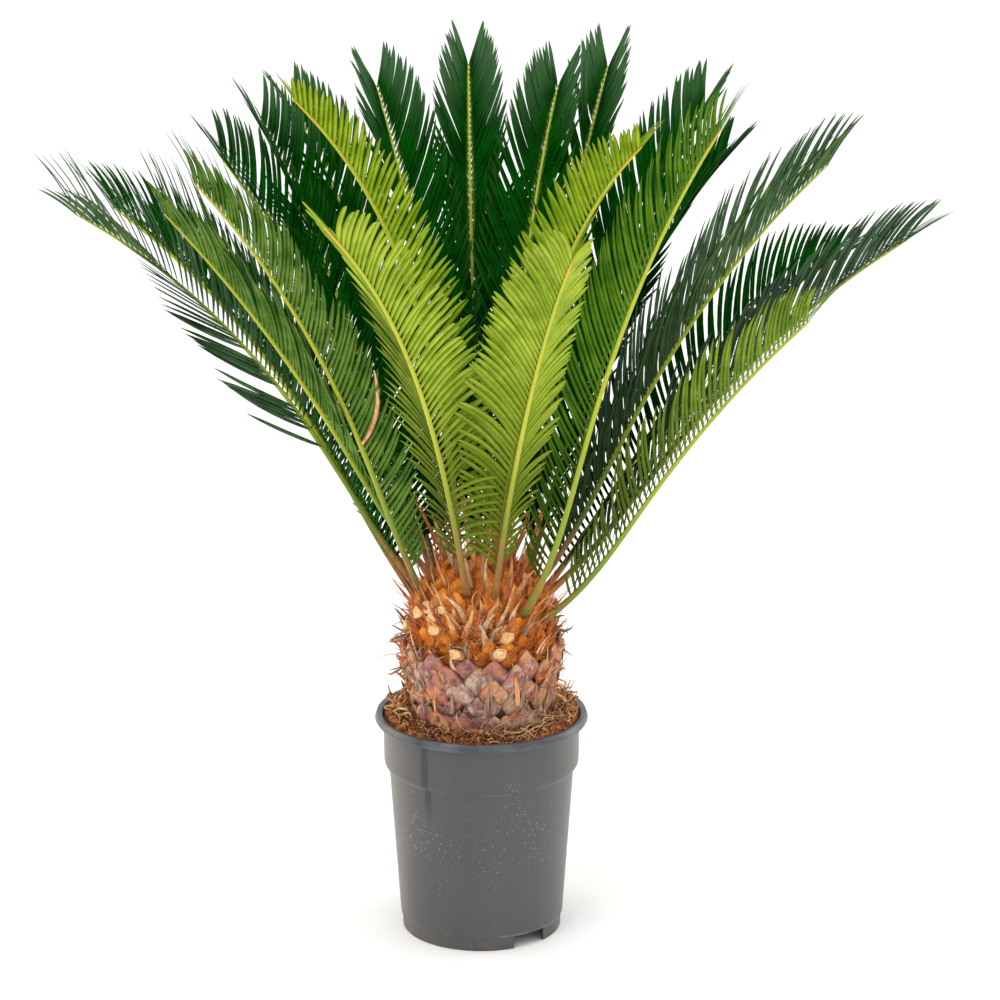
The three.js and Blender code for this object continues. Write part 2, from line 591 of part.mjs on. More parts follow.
function makeTrunk(leaflets) {
  const pieces = [toManifold(makeBarrel())];
  const random = makeRandom(7);

  // cut stubs of old leaves above them
  for (let row = 0; row < STUB_ROWS; row++) {
    const z = 279 + 12 * row;
    for (let k = 0; k < STUBS_ROUND; k++) {
      const a = ((k + 0.5 * (row % 2) + 0.3 * (random() - 0.5)) / STUBS_ROUND) * 2 * Math.PI;
      const out = v3(Math.cos(a), Math.sin(a), 0.55 + 0.3 * random());
      const r = barrelRadius(z) - 4;
      const foot = v3(r * Math.cos(a), r * Math.sin(a), z);
      const long = 13 + 3 * random();
      const radius = 5.4 + 1.2 * random();
      const end = foot.clone().addScaledVector(out.clone().normalize(), long);
      if (!clearOfRibs([foot, end], radius + 0.5)) continue;
      const stub = new THREE.CylinderGeometry(radius * 0.9, radius * 1.15, long, 6);
      stub.rotateX(Math.PI / 2);
      stub.translate(0, 0, long / 2);
      placed(stub, foot, out, v3(-Math.sin(a), Math.cos(a), 0));
      pieces.push(toManifold(stub));
    }
  }

  // dry scale leaves among the petioles, by the golden angle round the dome
  for (let k = 0; k < DRY_LEAVES; k++) {
    const seat = 14 + 84 * Math.sqrt((k + 0.5) / DRY_LEAVES);
    const az = (k * 137.5 + 11) % 360;
    const a = az * RAD;
    const { point, normal } = domePoint(Math.min(seat, 96), az, -2.5);
    const tilt = (4 + 0.42 * seat + 14 * (random() - 0.5)) * RAD;
    const along = v3(Math.sin(tilt) * Math.cos(a), Math.sin(tilt) * Math.sin(a), Math.cos(tilt));
    const size = (seat < 50 ? 46 : 32) + 24 * random();
    const width = 9 + 3 * random();
    const mid = point.clone().addScaledVector(along, size * 0.5);
    const end = mid.clone().addScaledVector(along, size * 0.5).addScaledVector(normal, 5 * (random() - 0.2));
    if (!clearOfRibs([point, mid, end], width * 0.42)) continue;
    if (!clearOfLeaflets([point, mid, end], width * 0.42, leaflets)) continue;
    pieces.push(toManifold(dryLeaf(point, v3(-Math.sin(a), Math.cos(a), 0), mid, end, width, 3)));
  }

  let trunk = pieces[0];
  for (const piece of pieces.slice(1)) trunk = trunk.add(piece);
  return fromManifold(trunk);
}

// ---- scene graph ----
const plastic = new THREE.MeshStandardMaterial({ color: 0x3a3d40, roughness: 0.45, metalness: 0 });
const compost = new THREE.MeshStandardMaterial({ color: 0x4b2f1c, roughness: 0.95, metalness: 0 });
const bark = new THREE.MeshStandardMaterial({ color: 0x8a6250, roughness: 0.9, metalness: 0 });
const leafDark = new THREE.MeshStandardMaterial({ color: 0x2f5a2e, roughness: 0.5, metalness: 0 });
const leafYoung = new THREE.MeshStandardMaterial({ color: 0x86a23c, roughness: 0.55, metalness: 0 });

function named(name, geometry, material) {
  const mesh = new THREE.Mesh(geometry, material);
  mesh.name = name;
  return mesh;
}

const palm = new THREE.Group();
palm.name = 'sago_palm_in_pot';
palm.add(named('pot', makePot(), plastic));
palm.add(named('soil', makeSoil(), compost));

const { leaflets, counts, placed: allLeaflets, skipped, cut } = placeLeaflets();
palm.add(named('trunk', makeTrunk(allLeaflets), bark));
const crown = new THREE.Group();
crown.name = 'crown';
const YOUNG = [3, 4, 5, 6, 12];
FRONDS.forEach((spec, f) => {
  const name = `frond_${String(f + 1).padStart(2, '0')}`;
  crown.add(named(name, makeFrond(f, leaflets[f], counts[f]), YOUNG.includes(f) ? leafYoung : leafDark));
});
palm.add(crown);

export default palm;
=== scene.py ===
from collections import namedtuple
from itertools import product
import math
import random

import bmesh
import bpy
import numpy as np
from mathutils import Matrix, Vector, noise


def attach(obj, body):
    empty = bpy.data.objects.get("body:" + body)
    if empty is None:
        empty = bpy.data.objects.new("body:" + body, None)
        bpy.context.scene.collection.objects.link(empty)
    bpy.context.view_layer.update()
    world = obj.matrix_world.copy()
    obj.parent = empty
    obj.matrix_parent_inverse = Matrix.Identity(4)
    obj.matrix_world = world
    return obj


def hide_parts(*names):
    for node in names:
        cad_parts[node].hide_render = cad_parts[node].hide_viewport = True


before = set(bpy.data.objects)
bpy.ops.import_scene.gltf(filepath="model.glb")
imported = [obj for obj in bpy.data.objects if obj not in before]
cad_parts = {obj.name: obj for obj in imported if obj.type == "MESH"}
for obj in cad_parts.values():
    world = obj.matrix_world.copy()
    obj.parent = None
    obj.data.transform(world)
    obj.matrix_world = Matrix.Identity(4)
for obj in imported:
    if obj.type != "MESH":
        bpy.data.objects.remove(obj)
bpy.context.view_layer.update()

mm = 0.001
rad = math.pi / 180
upward = np.array([0, 0, 1.0])
print("frame loaded:", len(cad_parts), "nodes")


def addObject(name, data):
    made = bpy.data.objects.new(name, data)
    bpy.context.collection.objects.link(made)
    return made


# camera
view = {
    "place": (0.0165, -3.5, 1.434),
    "pitch": 16.5,       # degrees below level
    "lens": 149.74, "sensor": 36, "reach": 60,
}
cameraData = bpy.data.cameras.new("camera")
cameraData.sensor_width = view["sensor"]
cameraData.lens = view["lens"]
cameraData.clip_end = view["reach"]
camera = addObject("camera", cameraData)
camera.location = view["place"]
camera.rotation_euler = (math.radians(90 - view["pitch"]), 0, 0)
bpy.context.scene.camera = camera


# shader sums: a wire is one socket that can stand in an expression
class Wire:
    def __init__(self, finish, socket):
        self.finish = finish
        self.socket = socket

    def __add__(self, other):
        return self.finish.sum("ADD", self, other)

    def __sub__(self, other):
        return self.finish.sum("SUBTRACT", self, other)

    def __mul__(self, other):
        return self.finish.sum("MULTIPLY", self, other)

    def __rsub__(self, other):
        return self.finish.sum("SUBTRACT", other, self)

    def __abs__(self):
        return self.finish.node("Math", {"operation": "ABSOLUTE"}, {0: self})

    __radd__ = __add__
    __rmul__ = __mul__


class Finish:
    def __init__(self, name, roughness, specular=0.2):
        self.material = bpy.data.materials.new(name)
        self.material.use_nodes = True
        self.tree = self.material.node_tree
        self.shader = self.tree.nodes["Principled BSDF"]
        self.shader.inputs["Roughness"].default_value = roughness
        self.shader.inputs["Specular IOR Level"].default_value = specular
        self.object = self.node("TexCoord", out="Object")
        self.uv = self.node("TexCoord", out="UV")

    def node(self, kind, settings=(), values=(), out=0):
        made = self.tree.nodes.new("ShaderNode" + kind)
        for key, value in dict(settings).items():
            setattr(made, key, value)
        for key, value in dict(values).items():
            if isinstance(value, Wire):
                self.tree.links.new(value.socket, made.inputs[key])
            else:
                made.inputs[key].default_value = value
        return Wire(self, made.outputs[out])

    def sum(self, operation, first, second):
        return self.node("Math", {"operation": operation}, {0: first, 1: second})

    def feed(self, socket, wire):
        self.tree.links.new(wire.socket, self.shader.inputs[socket])

    def grain(self, scale, detail=3, roughness=0.55, stretch=(1, 1, 1), shift=(0, 0, 0), source=None):
        values = {"Vector": source or self.object, "Scale": stretch, "Location": shift}
        place = self.node("Mapping", (), values)
        values = {"Vector": place, "Scale": scale, "Detail": detail, "Roughness": roughness}
        return self.node("TexNoise", (), values)

    def cells(self, scale):
        return self.node("TexVoronoi", (), {"Vector": self.object, "Scale": scale}, "Distance")

    def step(self, wire, low, high):
        values = {"Value": wire, "From Min": low, "From Max": high}
        return self.node("MapRange", {"interpolation_type": "SMOOTHSTEP"}, values)

    def mix(self, factor, first, second):
        colours = {6: first, 7: second}
        for key, colour in colours.items():
            if not isinstance(colour, Wire):
                colours[key] = (*colour, 1)
        return self.node("Mix", {"data_type": "RGBA"}, {0: factor, **colours}, 2)

    def ramp(self, wire, stops):
        made = self.node("ValToRGB", (), {"Fac": wire})
        ramp = made.socket.node.color_ramp
        ramp.elements.remove(ramp.elements[1])
        ramp.elements[0].position = stops[0][0]
        ramp.elements[0].color = (*stops[0][1], 1)
        for place, colour in stops[1:]:
            ramp.elements.new(place).color = (*colour, 1)
        return made

    def axis(self, wire, letter):
        return self.node("SeparateXYZ", (), {"Vector": wire}, letter)

    # the base colour is painted on in layers
    def prime(self, factor, first, second):
        self.colour = self.mix(factor, first, second)

    def paint(self, factor, colour):
        self.colour = self.mix(factor, self.colour, colour)

    def close(self, height, distance, roughness=None):
        self.feed("Base Color", self.colour)
        if roughness:
            self.feed("Roughness", roughness)
        self.feed("Normal", self.node("Bump", (), {"Height": height, "Distance": distance, "Strength": 1}))
        return self


# floor and light
studio = {
    "floorRadius": 14,
    "floorShades": ((0.93, 0.93, 0.93), (0.95, 0.95, 0.95)),
    "worldShade": (1.0, 1.0, 1.0),
    "worldStrength": 1.09,
    "target": (0, 0, 0.35),
    # name: place, size, watts, colour
    "lights": {
        "key": ((-1.3, -2.0, 2.9), (1.5, 1.5), 24, (1, 0.99, 0.96)),
        "top": ((0.2, 0.1, 3.0), (1.8, 1.8), 22, (1, 1, 1)),
        "leftSide": ((-1.7, 0.5, 0.5), (1.1, 1.3), 13, (1, 0.84, 0.64)),
        "rightSide": ((1.7, 0.6, 0.5), (0.9, 1.3), 11, (1, 0.88, 0.74)),
    },
}


def makeStudio():
    pale = Finish("paleFloor", 0.9, 0.1)
    pale.feed("Base Color", pale.mix(pale.grain(1.2, 2), *studio["floorShades"]))
    bm = bmesh.new()
    bmesh.ops.create_circle(bm, cap_ends=True, segments=96, radius=studio["floorRadius"])
    mesh = meshOf(bm, "floor")
    mesh.materials.append(pale.material)
    floor = addObject("floor", mesh)
    world = bpy.data.worlds.new("studio")
    world.use_nodes = True
    background = world.node_tree.nodes["Background"]
    background.inputs["Color"].default_value = (*studio["worldShade"], 1)
    background.inputs["Strength"].default_value = studio["worldStrength"]
    bpy.context.scene.world = world
    bpy.context.scene.view_settings.view_transform = "Standard"
    for name, (place, size, watts, colour) in studio["lights"].items():
        data = bpy.data.lights.new(name, "AREA")
        data.shape = "RECTANGLE"
        data.size, data.size_y = size
        data.energy = watts
        data.color = colour
        light = addObject(name, data)
        light.location = place
        facing = Vector(studio["target"]) - Vector(place)
        light.rotation_euler = facing.to_track_quat("-Z", "Y").to_euler()


# meshes
def meshOf(bm, name, sharp=None):
    mesh = bpy.data.meshes.new(name)
    bm.to_mesh(mesh)
    bm.free()
    if sharp:
        shadeMesh(mesh, sharp)
    return mesh


def shadeMesh(mesh, sharp):
    mesh.shade_smooth()
    mesh.set_sharp_from_angle(angle=math.radians(sharp))


def addPiece(name, mesh, finishes, nodes=()):
    for finish in finishes:
        mesh.materials.append(finish.material)
    piece = addObject(name, mesh)
    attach(piece, "root")
    if nodes:
        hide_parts(*nodes)


def spun(profile, steps):
    bm = bmesh.new()
    verts = [bm.verts.new((r * mm, 0, z * mm)) for r, z in profile]
    edges = [bm.edges.new(pair) for pair in zip(verts, verts[1:])]
    bmesh.ops.spin(
        bm, geom=verts + edges, cent=(0, 0, 0), axis=(0, 0, 1), angle=math.tau, steps=steps, use_merge=True,
    )
    bmesh.ops.remove_doubles(bm, verts=bm.verts, dist=2e-6)
    bmesh.ops.recalc_face_normals(bm, faces=bm.faces)
    return bm


# A pattern is one small closed mesh, held as arrays so that it can be laid many times.
class Pattern:
    def __init__(self, bm, finishOf=None):
        bm.verts.index_update()
        self.co = np.array([v.co for v in bm.verts])
        self.loops = np.array([v.index for f in bm.faces for v in f.verts])
        sizes = np.array([len(f.verts) for f in bm.faces])
        self.starts = np.concatenate(([0], np.cumsum(sizes)[:-1]))
        self.finish = np.array([finishOf(f) if finishOf else 0 for f in bm.faces])
        bm.free()


def tubePattern(stations, section, finishOf=None):
    # stations run from 0 to 1 along the tube, the section is a ring of points round it
    sides = len(section)
    bm = bmesh.new()
    bmesh.ops.create_circle(bm, cap_ends=True, segments=sides, radius=1)
    top = bm.faces[:]
    for k in range(len(stations) - 1):
        grown = bmesh.ops.extrude_face_region(bm, geom=top, use_keep_orig=True)["geom"]
        if k:
            bmesh.ops.delete(bm, geom=top, context="FACES_ONLY")
        top = [g for g in grown if isinstance(g, bmesh.types.BMFace)]
        bmesh.ops.translate(bm, verts=[g for g in grown if isinstance(g, bmesh.types.BMVert)], vec=(0, 0, 1))
    bmesh.ops.recalc_face_normals(bm, faces=bm.faces)
    pattern = Pattern(bm, finishOf)
    pattern.station = np.rint(pattern.co[:, 2]).astype(int)
    turn = np.arctan2(pattern.co[:, 1], pattern.co[:, 0]) / math.tau * sides
    pattern.side = np.rint(turn).astype(int) % sides
    pattern.stations, pattern.section = np.asarray(stations), np.asarray(section)
    across = pattern.section[pattern.side, 0] * 0.5 + 0.5
    pattern.uv = np.stack((across, pattern.stations[pattern.station]), 1)
    return pattern


def roundSection(sides):
    turns = np.arange(sides) / sides * math.tau
    return np.stack((np.cos(turns), np.sin(turns)), 1)


def slabPattern(count):
    bm = bmesh.new()
    bmesh.ops.create_grid(bm, x_segments=count, y_segments=count, size=1)
    standing = Matrix(((1, 0, 0, 0), (0, 0, 1, 0), (0, 0.5, 0, 0.5), (0, 0, 0, 1)))
    bmesh.ops.transform(bm, verts=bm.verts, matrix=standing)
    bmesh.ops.solidify(bm, geom=bm.faces, thickness=1)
    bmesh.ops.recalc_face_normals(bm, faces=bm.faces)
    return Pattern(bm)


def layPiece(name, pattern, points, finishes, nodes=(), kinds=None, smooth=True):
    # points: copies x vertices x 3, in mm; kinds: each copy's finish
    copies, each = points.shape[:2]
    mesh = bpy.data.meshes.new(name)
    mesh.vertices.add(copies * each)
    mesh.vertices.foreach_set("co", (points * mm).astype(np.float32).ravel())
    loops = (pattern.loops[None, :] + each * np.arange(copies)[:, None]).ravel()
    starts = (pattern.starts[None, :] + len(pattern.loops) * np.arange(copies)[:, None]).ravel()
    mesh.loops.add(len(loops))
    mesh.loops.foreach_set("vertex_index", loops)
    mesh.polygons.add(len(starts))
    mesh.polygons.foreach_set("loop_start", starts)
    finish = np.broadcast_to(pattern.finish, (copies, len(pattern.finish)))
    if kinds is not None:
        finish = finish + np.asarray(kinds)[:, None]
    mesh.polygons.foreach_set("material_index", finish.ravel().astype(np.int32))
    mesh.polygons.foreach_set("use_smooth", np.full(len(starts), smooth))
    layer = mesh.uv_layers.new(name="along")
    uv = np.broadcast_to(pattern.uv, (copies, each, 2))
    layer.uv.foreach_set("vector", uv.reshape(-1, 2)[loops].astype(np.float32).ravel())
    mesh.update(calc_edges=True)
    mesh.validate()
    addPiece(name, mesh, finishes, nodes)


def unit(v):
    return v / np.maximum(np.linalg.norm(v, axis=-1, keepdims=True), 1e-12)


def outward(a, z=0.0):
    return np.array([math.cos(a), math.sin(a), z])


def aside(a, z=0.0):
    return np.array([-math.sin(a), math.cos(a), z])


def sweep(pattern, centre, across, normal, halfWide, halfThick):
    # a tube pattern laid along each copy's centre line: centre is copies x stations x 3
    x, y = pattern.section[pattern.side].T
    at = pattern.station
    return (
        centre[:, at]
        + across[:, at] * (halfWide[:, at] * x)[..., None]
        + normal[:, at] * (halfThick[:, at] * y)[..., None]
    )


makeStudio()
print("studio ready")


# pot
pot = {
    "lipRadius": 95, "lipTop": 202, "lipDrop": 7.6, "lipInner": 88.4,
    "bandRadius": 87.4, "bandLow": 158, "bandFoot": 152,
    "bodyTop": 82.3, "bodyFoot": 72.7, "ledge": 13.5, "foot": 71, "footWide": 2.2,
    "wall": 1.9, "floor": 12.4, "floorThick": 2, "disc": 31, "discLow": 2.2,
    "notches": (127.5, 307.5), "notchSize": (12, 33, 24.2),
    "drains": 8, "drainRadius": 4.5, "drainRing": 50,
    "rounding": 0.55, "roundFrom": 9, "steps": 160, "sharp": 30,
    "plastic": (0.047, 0.051, 0.056),
}


def potProfile():
    lip, top, low = pot["lipRadius"], pot["lipTop"], pot["lipTop"] - pot["lipDrop"]
    band, wall, floor = pot["bandRadius"], pot["wall"], pot["floor"]
    bandLow, bandFoot, bodyTop = pot["bandLow"], pot["bandFoot"], pot["bodyTop"]
    foot, disc, ledge, bodyFoot = pot["foot"], pot["disc"], pot["ledge"], pot["bodyFoot"]
    inside, inner = foot - pot["footWide"], pot["floor"] + pot["floorThick"]
    return [
        # the underside and the foot ring
        (0, 0), (disc - 1, 0), (disc, 1), (disc + 2.5, floor), (inside, floor), (inside, 0),
        (foot - 0.6, 0), (foot, 1), (foot + 0.1, ledge - 1.6),
        # up the outside
        (bodyFoot, ledge), (bodyTop, bandFoot - 1), (bodyTop + 2, bandFoot), (band - 1, bandLow - 2.6),
        (band - 0.5, bandLow), (band, low - 1), (lip - 1.4, low), (lip, top - 5), (lip - 1.8, top),
        # down the inside
        (pot["lipInner"], top - 0.8), (band - wall, low - 3), (band - wall - 0.5, bandLow + 1),
        (bodyTop - wall, bandFoot - 1.5), (bodyFoot - wall + 0.3, ledge + 3.5), (foot - 1.4, inner),
        (disc + 1.6, inner), (disc - 1.2, pot["discLow"]), (0, pot["discLow"]),
    ]


def potCutter():
    bm = bmesh.new()
    for turn in pot["notches"]:
        block = bmesh.ops.create_cube(bm, size=1)["verts"]
        bmesh.ops.scale(bm, verts=block, vec=Vector(pot["notchSize"]) * mm)
        bmesh.ops.translate(bm, verts=block, vec=(pot["foot"] * mm, 0, 0))
        bmesh.ops.rotate(bm, verts=block, matrix=Matrix.Rotation(math.radians(turn), 3, "Z"))
    radius, ring = pot["drainRadius"] * mm, pot["drainRing"] * mm
    for k in range(pot["drains"]):
        turn = (k + 0.5) / pot["drains"] * math.tau
        place = Matrix.Translation((ring * math.cos(turn), ring * math.sin(turn), (pot["floor"] + 1) * mm))
        bmesh.ops.create_cone(
            bm, cap_ends=True, segments=24, radius1=radius, radius2=radius, depth=8 * mm, matrix=place,
        )
    bmesh.ops.recalc_face_normals(bm, faces=bm.faces)
    return addObject("cutter", meshOf(bm, "cutter"))


def makePot():
    bm = spun(potProfile(), pot["steps"])
    ringEdges = [
        e for e in bm.edges
        if abs(e.verts[0].co.z - e.verts[1].co.z) < 1e-7 and e.calc_face_angle(0) > pot["roundFrom"] * rad
    ]
    bmesh.ops.bevel(
        bm, geom=ringEdges, offset=pot["rounding"] * mm, offset_type="OFFSET", affect="EDGES",
        segments=2, profile=0.5, material=-1, clamp_overlap=True,
    )
    rough, cutter = addObject("potRough", meshOf(bm, "potRough")), potCutter()
    cut = rough.modifiers.new("notches", "BOOLEAN")
    cut.operation = "DIFFERENCE"
    cut.solver = "EXACT"
    cut.object = cutter
    graph = bpy.context.evaluated_depsgraph_get()
    mesh = bpy.data.meshes.new_from_object(rough.evaluated_get(graph))
    mesh.name = "nurseryPot"
    bpy.data.objects.remove(rough)
    bpy.data.objects.remove(cutter)
    mesh.materials.clear()
    shadeMesh(mesh, pot["sharp"])
    addPiece("nurseryPot", mesh, [potFinish()], ["pot"])


def potFinish():
    plastic = Finish("greyPlastic", 0.42, 0.5)
    step, grain = plastic.step, plastic.grain
    across, back, high = (plastic.axis(plastic.object, letter) for letter in "XYZ")
    cloud = grain(9, 4, stretch=(1, 1, 0.35))
    streaks = grain(60, 3, stretch=(1, 1, 0.06))
    plastic.prime(step(cloud, 0.3, 0.72), pot["plastic"], (0.066, 0.070, 0.076))
    plastic.paint(step(streaks, 0.52, 0.8) * 0.35, (0.09, 0.093, 0.097))
    # left and right flanks lightened with a warm tint, a painted reflection of the side lights, and a dark
    # streak beside the left one
    turn = plastic.sum("ARCTAN2", back, across)
    plastic.paint((1 - step(across, -0.084, -0.046)) * 0.5, (0.125, 0.104, 0.088))
    plastic.paint(step(across, 0.060, 0.086) * 0.45, (0.125, 0.115, 0.10))
    streak = (1 - step(abs(turn + 2.18), 0.028, 0.055)) * step(high, 0.112, 0.150)
    plastic.paint(streak * 0.72, (0.014, 0.015, 0.016))
    # dust specks, thicker in some places
    specks = 1 - step(plastic.cells(430), 0.14, 0.26)
    dust = specks * step(grain(14, 2, shift=(4, 1, 2)), 0.42, 0.66) * step(grain(260, 1), 0.50, 0.60)
    plastic.paint(dust * 0.85, (0.52, 0.50, 0.46))
    # worn edges at the ledges, earth on the foot, and a darker lip with painted highlights
    wornBand = step(high, 0.1500, 0.1510) * (1 - step(high, 0.1520, 0.1532))
    wornLedge = step(high, 0.0115, 0.0130) * (1 - step(high, 0.0138, 0.0150))
    worn = (wornBand + wornLedge) * step(grain(38, 4, stretch=(1, 1, 0.2)), 0.40, 0.62)
    plastic.paint(worn * 0.55, (0.24, 0.235, 0.22))
    earth = (1 - step(high, 0.004, 0.030)) * step(grain(55, 5), 0.42, 0.66)
    plastic.paint(earth * 0.5, (0.115, 0.085, 0.06))
    lip = step(high, 0.1935, 0.1950)
    plastic.paint(lip * 0.55, (0.030, 0.036, 0.045))
    # pale bluish patches on the lip: painted highlights
    plastic.paint(lip * step(grain(30, 5, stretch=(1, 1, 2)), 0.45, 0.7) * 0.55, (0.115, 0.135, 0.155))
    fine = grain(900, 3) * 0.35 + streaks * 0.4 + grain(120, 3) * 0.4
    roughness = 0.34 + step(cloud, 0.3, 0.8) * 0.14 + dust * 0.3 + earth * 0.25
    return plastic.close(fine + dust * 0.6, 0.00022, roughness)


makePot()
print("pot ready")


# soil
soil = {
    "level": 203.7, "flat": 60, "edge": 194, "slope": 26, "heaps": (12, 9), "heapAt": 79, "heapWide": 6.5,
    "steps": 240, "rimRadius": 83.6, "rimLean": 0.3,
    "earth": (0.125, 0.036, 0.010),
    # loose grains: count, ring, lift, size, flatness, choice of finishes
    "crumbs": (3200, (58, 83.5), (-0.4, 0.8), (0.5, 1.6), (0.4, 0.9), (0, 0, 0, 1, 1, 2)),
    "chips": (420, (60, 82), (0.3, 1.6), (1.6, 3.8), (0.15, 0.3), (0, 1, 1, 2)),
    # strands: count, then stations, wander and droop
    "fibres": (620, (6, 0.30, 0.10)), "roots": (150, (10, 0.22, 0.05)), "tufts": (110, (8, 0.24, 0.02)),
}


def soilHeight(x, y):
    r = math.hypot(x, y)
    out = min(1, max(0, (r - soil["flat"]) / soil["slope"]))
    right, left = max(0, x / (r + 1e-9)), max(0, -x / (r + 1e-9))
    heap = soil["heaps"][0] * right ** 2 + soil["heaps"][1] * left ** 2
    heap *= math.exp(-(((r - soil["heapAt"]) / soil["heapWide"]) ** 2))
    lumps = 0.9 * math.sin(0.31 * x + 1.3) * math.cos(0.27 * y - 0.6) + 0.6 * math.sin(0.73 * x - 0.52 * y)
    fade = min(1, max(0, (r - soil["flat"]) / 8))
    return soil["level"] + fade * ((soil["edge"] - soil["level"]) * out ** 1.5 + heap + lumps - 0.8)


def soilProfile():
    wall, floor = pot["wall"], pot["floor"] + pot["floorThick"] + 0.3
    inside = pot["bandRadius"] - wall
    outline = [
        (0, 2.5), (pot["disc"] - 1.9, 2.5),
        (pot["disc"] + 1.1, floor), (pot["foot"] - pot["footWide"], floor),
        (pot["bodyFoot"] - wall - 0.2, pot["ledge"] + 4),
        (pot["bodyTop"] - wall - 0.5, pot["bandFoot"] - 1.3),
        (inside - 0.9, pot["bandLow"] + 1.4), (inside - 0.5, pot["lipTop"] - pot["lipDrop"] - 3),
    ]
    top = [(r, soil["edge"]) for r in np.arange(inside - 0.1, 51, -1.1)]
    return outline + top + [(r, soil["level"]) for r in (40, 20, 0)]


def makeSoil():
    bm = spun(soilProfile(), soil["steps"])
    edge = pot["bandRadius"] - pot["wall"] - 0.1
    for v in bm.verts:
        x, y = v.co.x / mm, v.co.y / mm
        r = math.hypot(x, y)
        if v.co.z > 190 * mm and r > 50:
            lumps = noise.fractal(Vector((x, y, 0)) * 0.16, 0.7, 2.2, 4) * 1.5
            v.co.z = (soilHeight(x, y) + lumps) * mm
            # the outer edge leans out to the wall
            wall = edge + 0.29 * max(0, min(9, v.co.z / mm - 191.4)) - 0.3
            if r > 78:
                v.co.xy *= 1 + (wall / edge - 1) * (r - 78) / (edge - 78)
    addPiece("pottingSoil", meshOf(bm, "pottingSoil", 60), [earthFinish()], ["soil"])


def earthFinish():
    earth = Finish("darkCompost", 0.95)
    lumps = earth.grain(160, 5, 0.65)
    earth.colour = earth.ramp(earth.step(lumps, 0.25, 0.75), (
        (0.0, (0.022, 0.007, 0.002)), (0.40, soil["earth"]),
        (0.72, (0.31, 0.10, 0.027)), (1.0, (0.52, 0.24, 0.085)),
    ))
    return earth.close(lumps + earth.grain(700, 3) * 0.4, 0.0012)


def plainFinish(name, dark, light, scale=220, roughness=0.85, bump=0.0003, stretch=(1, 1, 1)):
    finish = Finish(name, roughness, 0.25)
    mottle = finish.grain(scale, 4, 0.6, stretch)
    finish.prime(finish.step(mottle, 0.3, 0.7), dark, light)
    return finish.close(mottle, bump)


def gauss3(rng, spread=1, lift=0, high=1):
    return np.array([rng.gauss(0, spread), rng.gauss(0, spread), rng.gauss(lift, high)])


def soilPoint(a, r, lift=0.0):
    x, y = r * math.cos(a), r * math.sin(a)
    return x, y, soilHeight(x, y) + lift


def ringPlace(rng, low, high):
    # a place on the open ring of soil
    r = math.sqrt(rng.uniform(low ** 2, high ** 2))
    return soilPoint(rng.uniform(0, math.tau), r)


def layGrains(rng, name, values, finishes):
    count, ring, lifts, sizes, flatness, choices = values
    rows = []
    for _ in range(count):
        x, y, z = ringPlace(rng, *ring)
        rows.append(((x, y, z + rng.uniform(*lifts)), rng.uniform(*sizes), rng.choice(choices)))
    bm = bmesh.new()
    bmesh.ops.create_icosphere(bm, subdivisions=1, radius=1)
    pattern = Pattern(bm)
    points = []
    for place, size, _ in rows:
        turn = Matrix.Rotation(rng.uniform(0, math.tau), 3, Vector(gauss3(rng)).normalized())
        shape = pattern.co * np.array([size, size * rng.uniform(0.5, 0.9), size * rng.uniform(*flatness)])
        waves = np.sin(pattern.co @ np.array([5.0, 3.0, 7.0]) + rng.uniform(0, 6))
        shape = shape * (1 + 0.25 * waves)[:, None]
        points.append(shape @ np.array(turn).T + np.array(place))
    kinds = [kind for *_, kind in rows]
    pattern.uv = pattern.co[:, :2] * 0.5 + 0.5
    layPiece(name, pattern, np.array(points), finishes, kinds=kinds, smooth=False)


def layStrands(rng, name, rows, bends, finishes, sides=3, settle=None):
    # rows: start, heading, length, thickness, finish; each strand wanders from its heading
    stations, wander, droop = bends
    lines = []
    for start, heading, length, *_ in rows:
        p, h = np.array(start, float), np.array(heading, float)
        bend = gauss3(rng)
        line = [p]
        for _ in range(stations - 1):
            bend = 0.75 * bend + 0.66 * gauss3(rng)
            h = unit(h + bend * wander + np.array([0, 0, -droop]))
            p = p + h * length / (stations - 1)
            line.append(p)
        lines.append(line)
    lines = np.array(lines)
    if settle:
        settle(lines)
    *_, thick, kinds = zip(*rows)
    s = np.linspace(0, 1, stations)
    pattern = tubePattern(s, roundSection(sides))
    tangent = unit(np.gradient(lines, axis=1))
    across = unit(np.cross(np.broadcast_to((0.31, 0.22, 0.93), tangent.shape), tangent))
    normal = unit(np.cross(tangent, across))
    radius = np.array(thick)[:, None] * (np.minimum(1, (1.02 - s) / 0.35) ** 0.6)[None, :]
    points = sweep(pattern, lines, across, normal, radius, radius)
    layPiece(name, pattern, points, finishes, kinds=kinds)


def keepInPot(lines):
    # pulls strands in from the wall and keeps them on the soil
    r = np.hypot(lines[..., 0], lines[..., 1])
    room = soil["rimRadius"] + soil["rimLean"] * np.clip(lines[..., 2] - 192, 0, 9)
    lines[..., :2] *= np.minimum(1, room / np.maximum(r, 1))[..., None]
    floor = np.array([[soilHeight(p[0], p[1]) for p in line] for line in lines])
    lines[..., 2] = np.maximum(lines[..., 2], floor + 0.1)


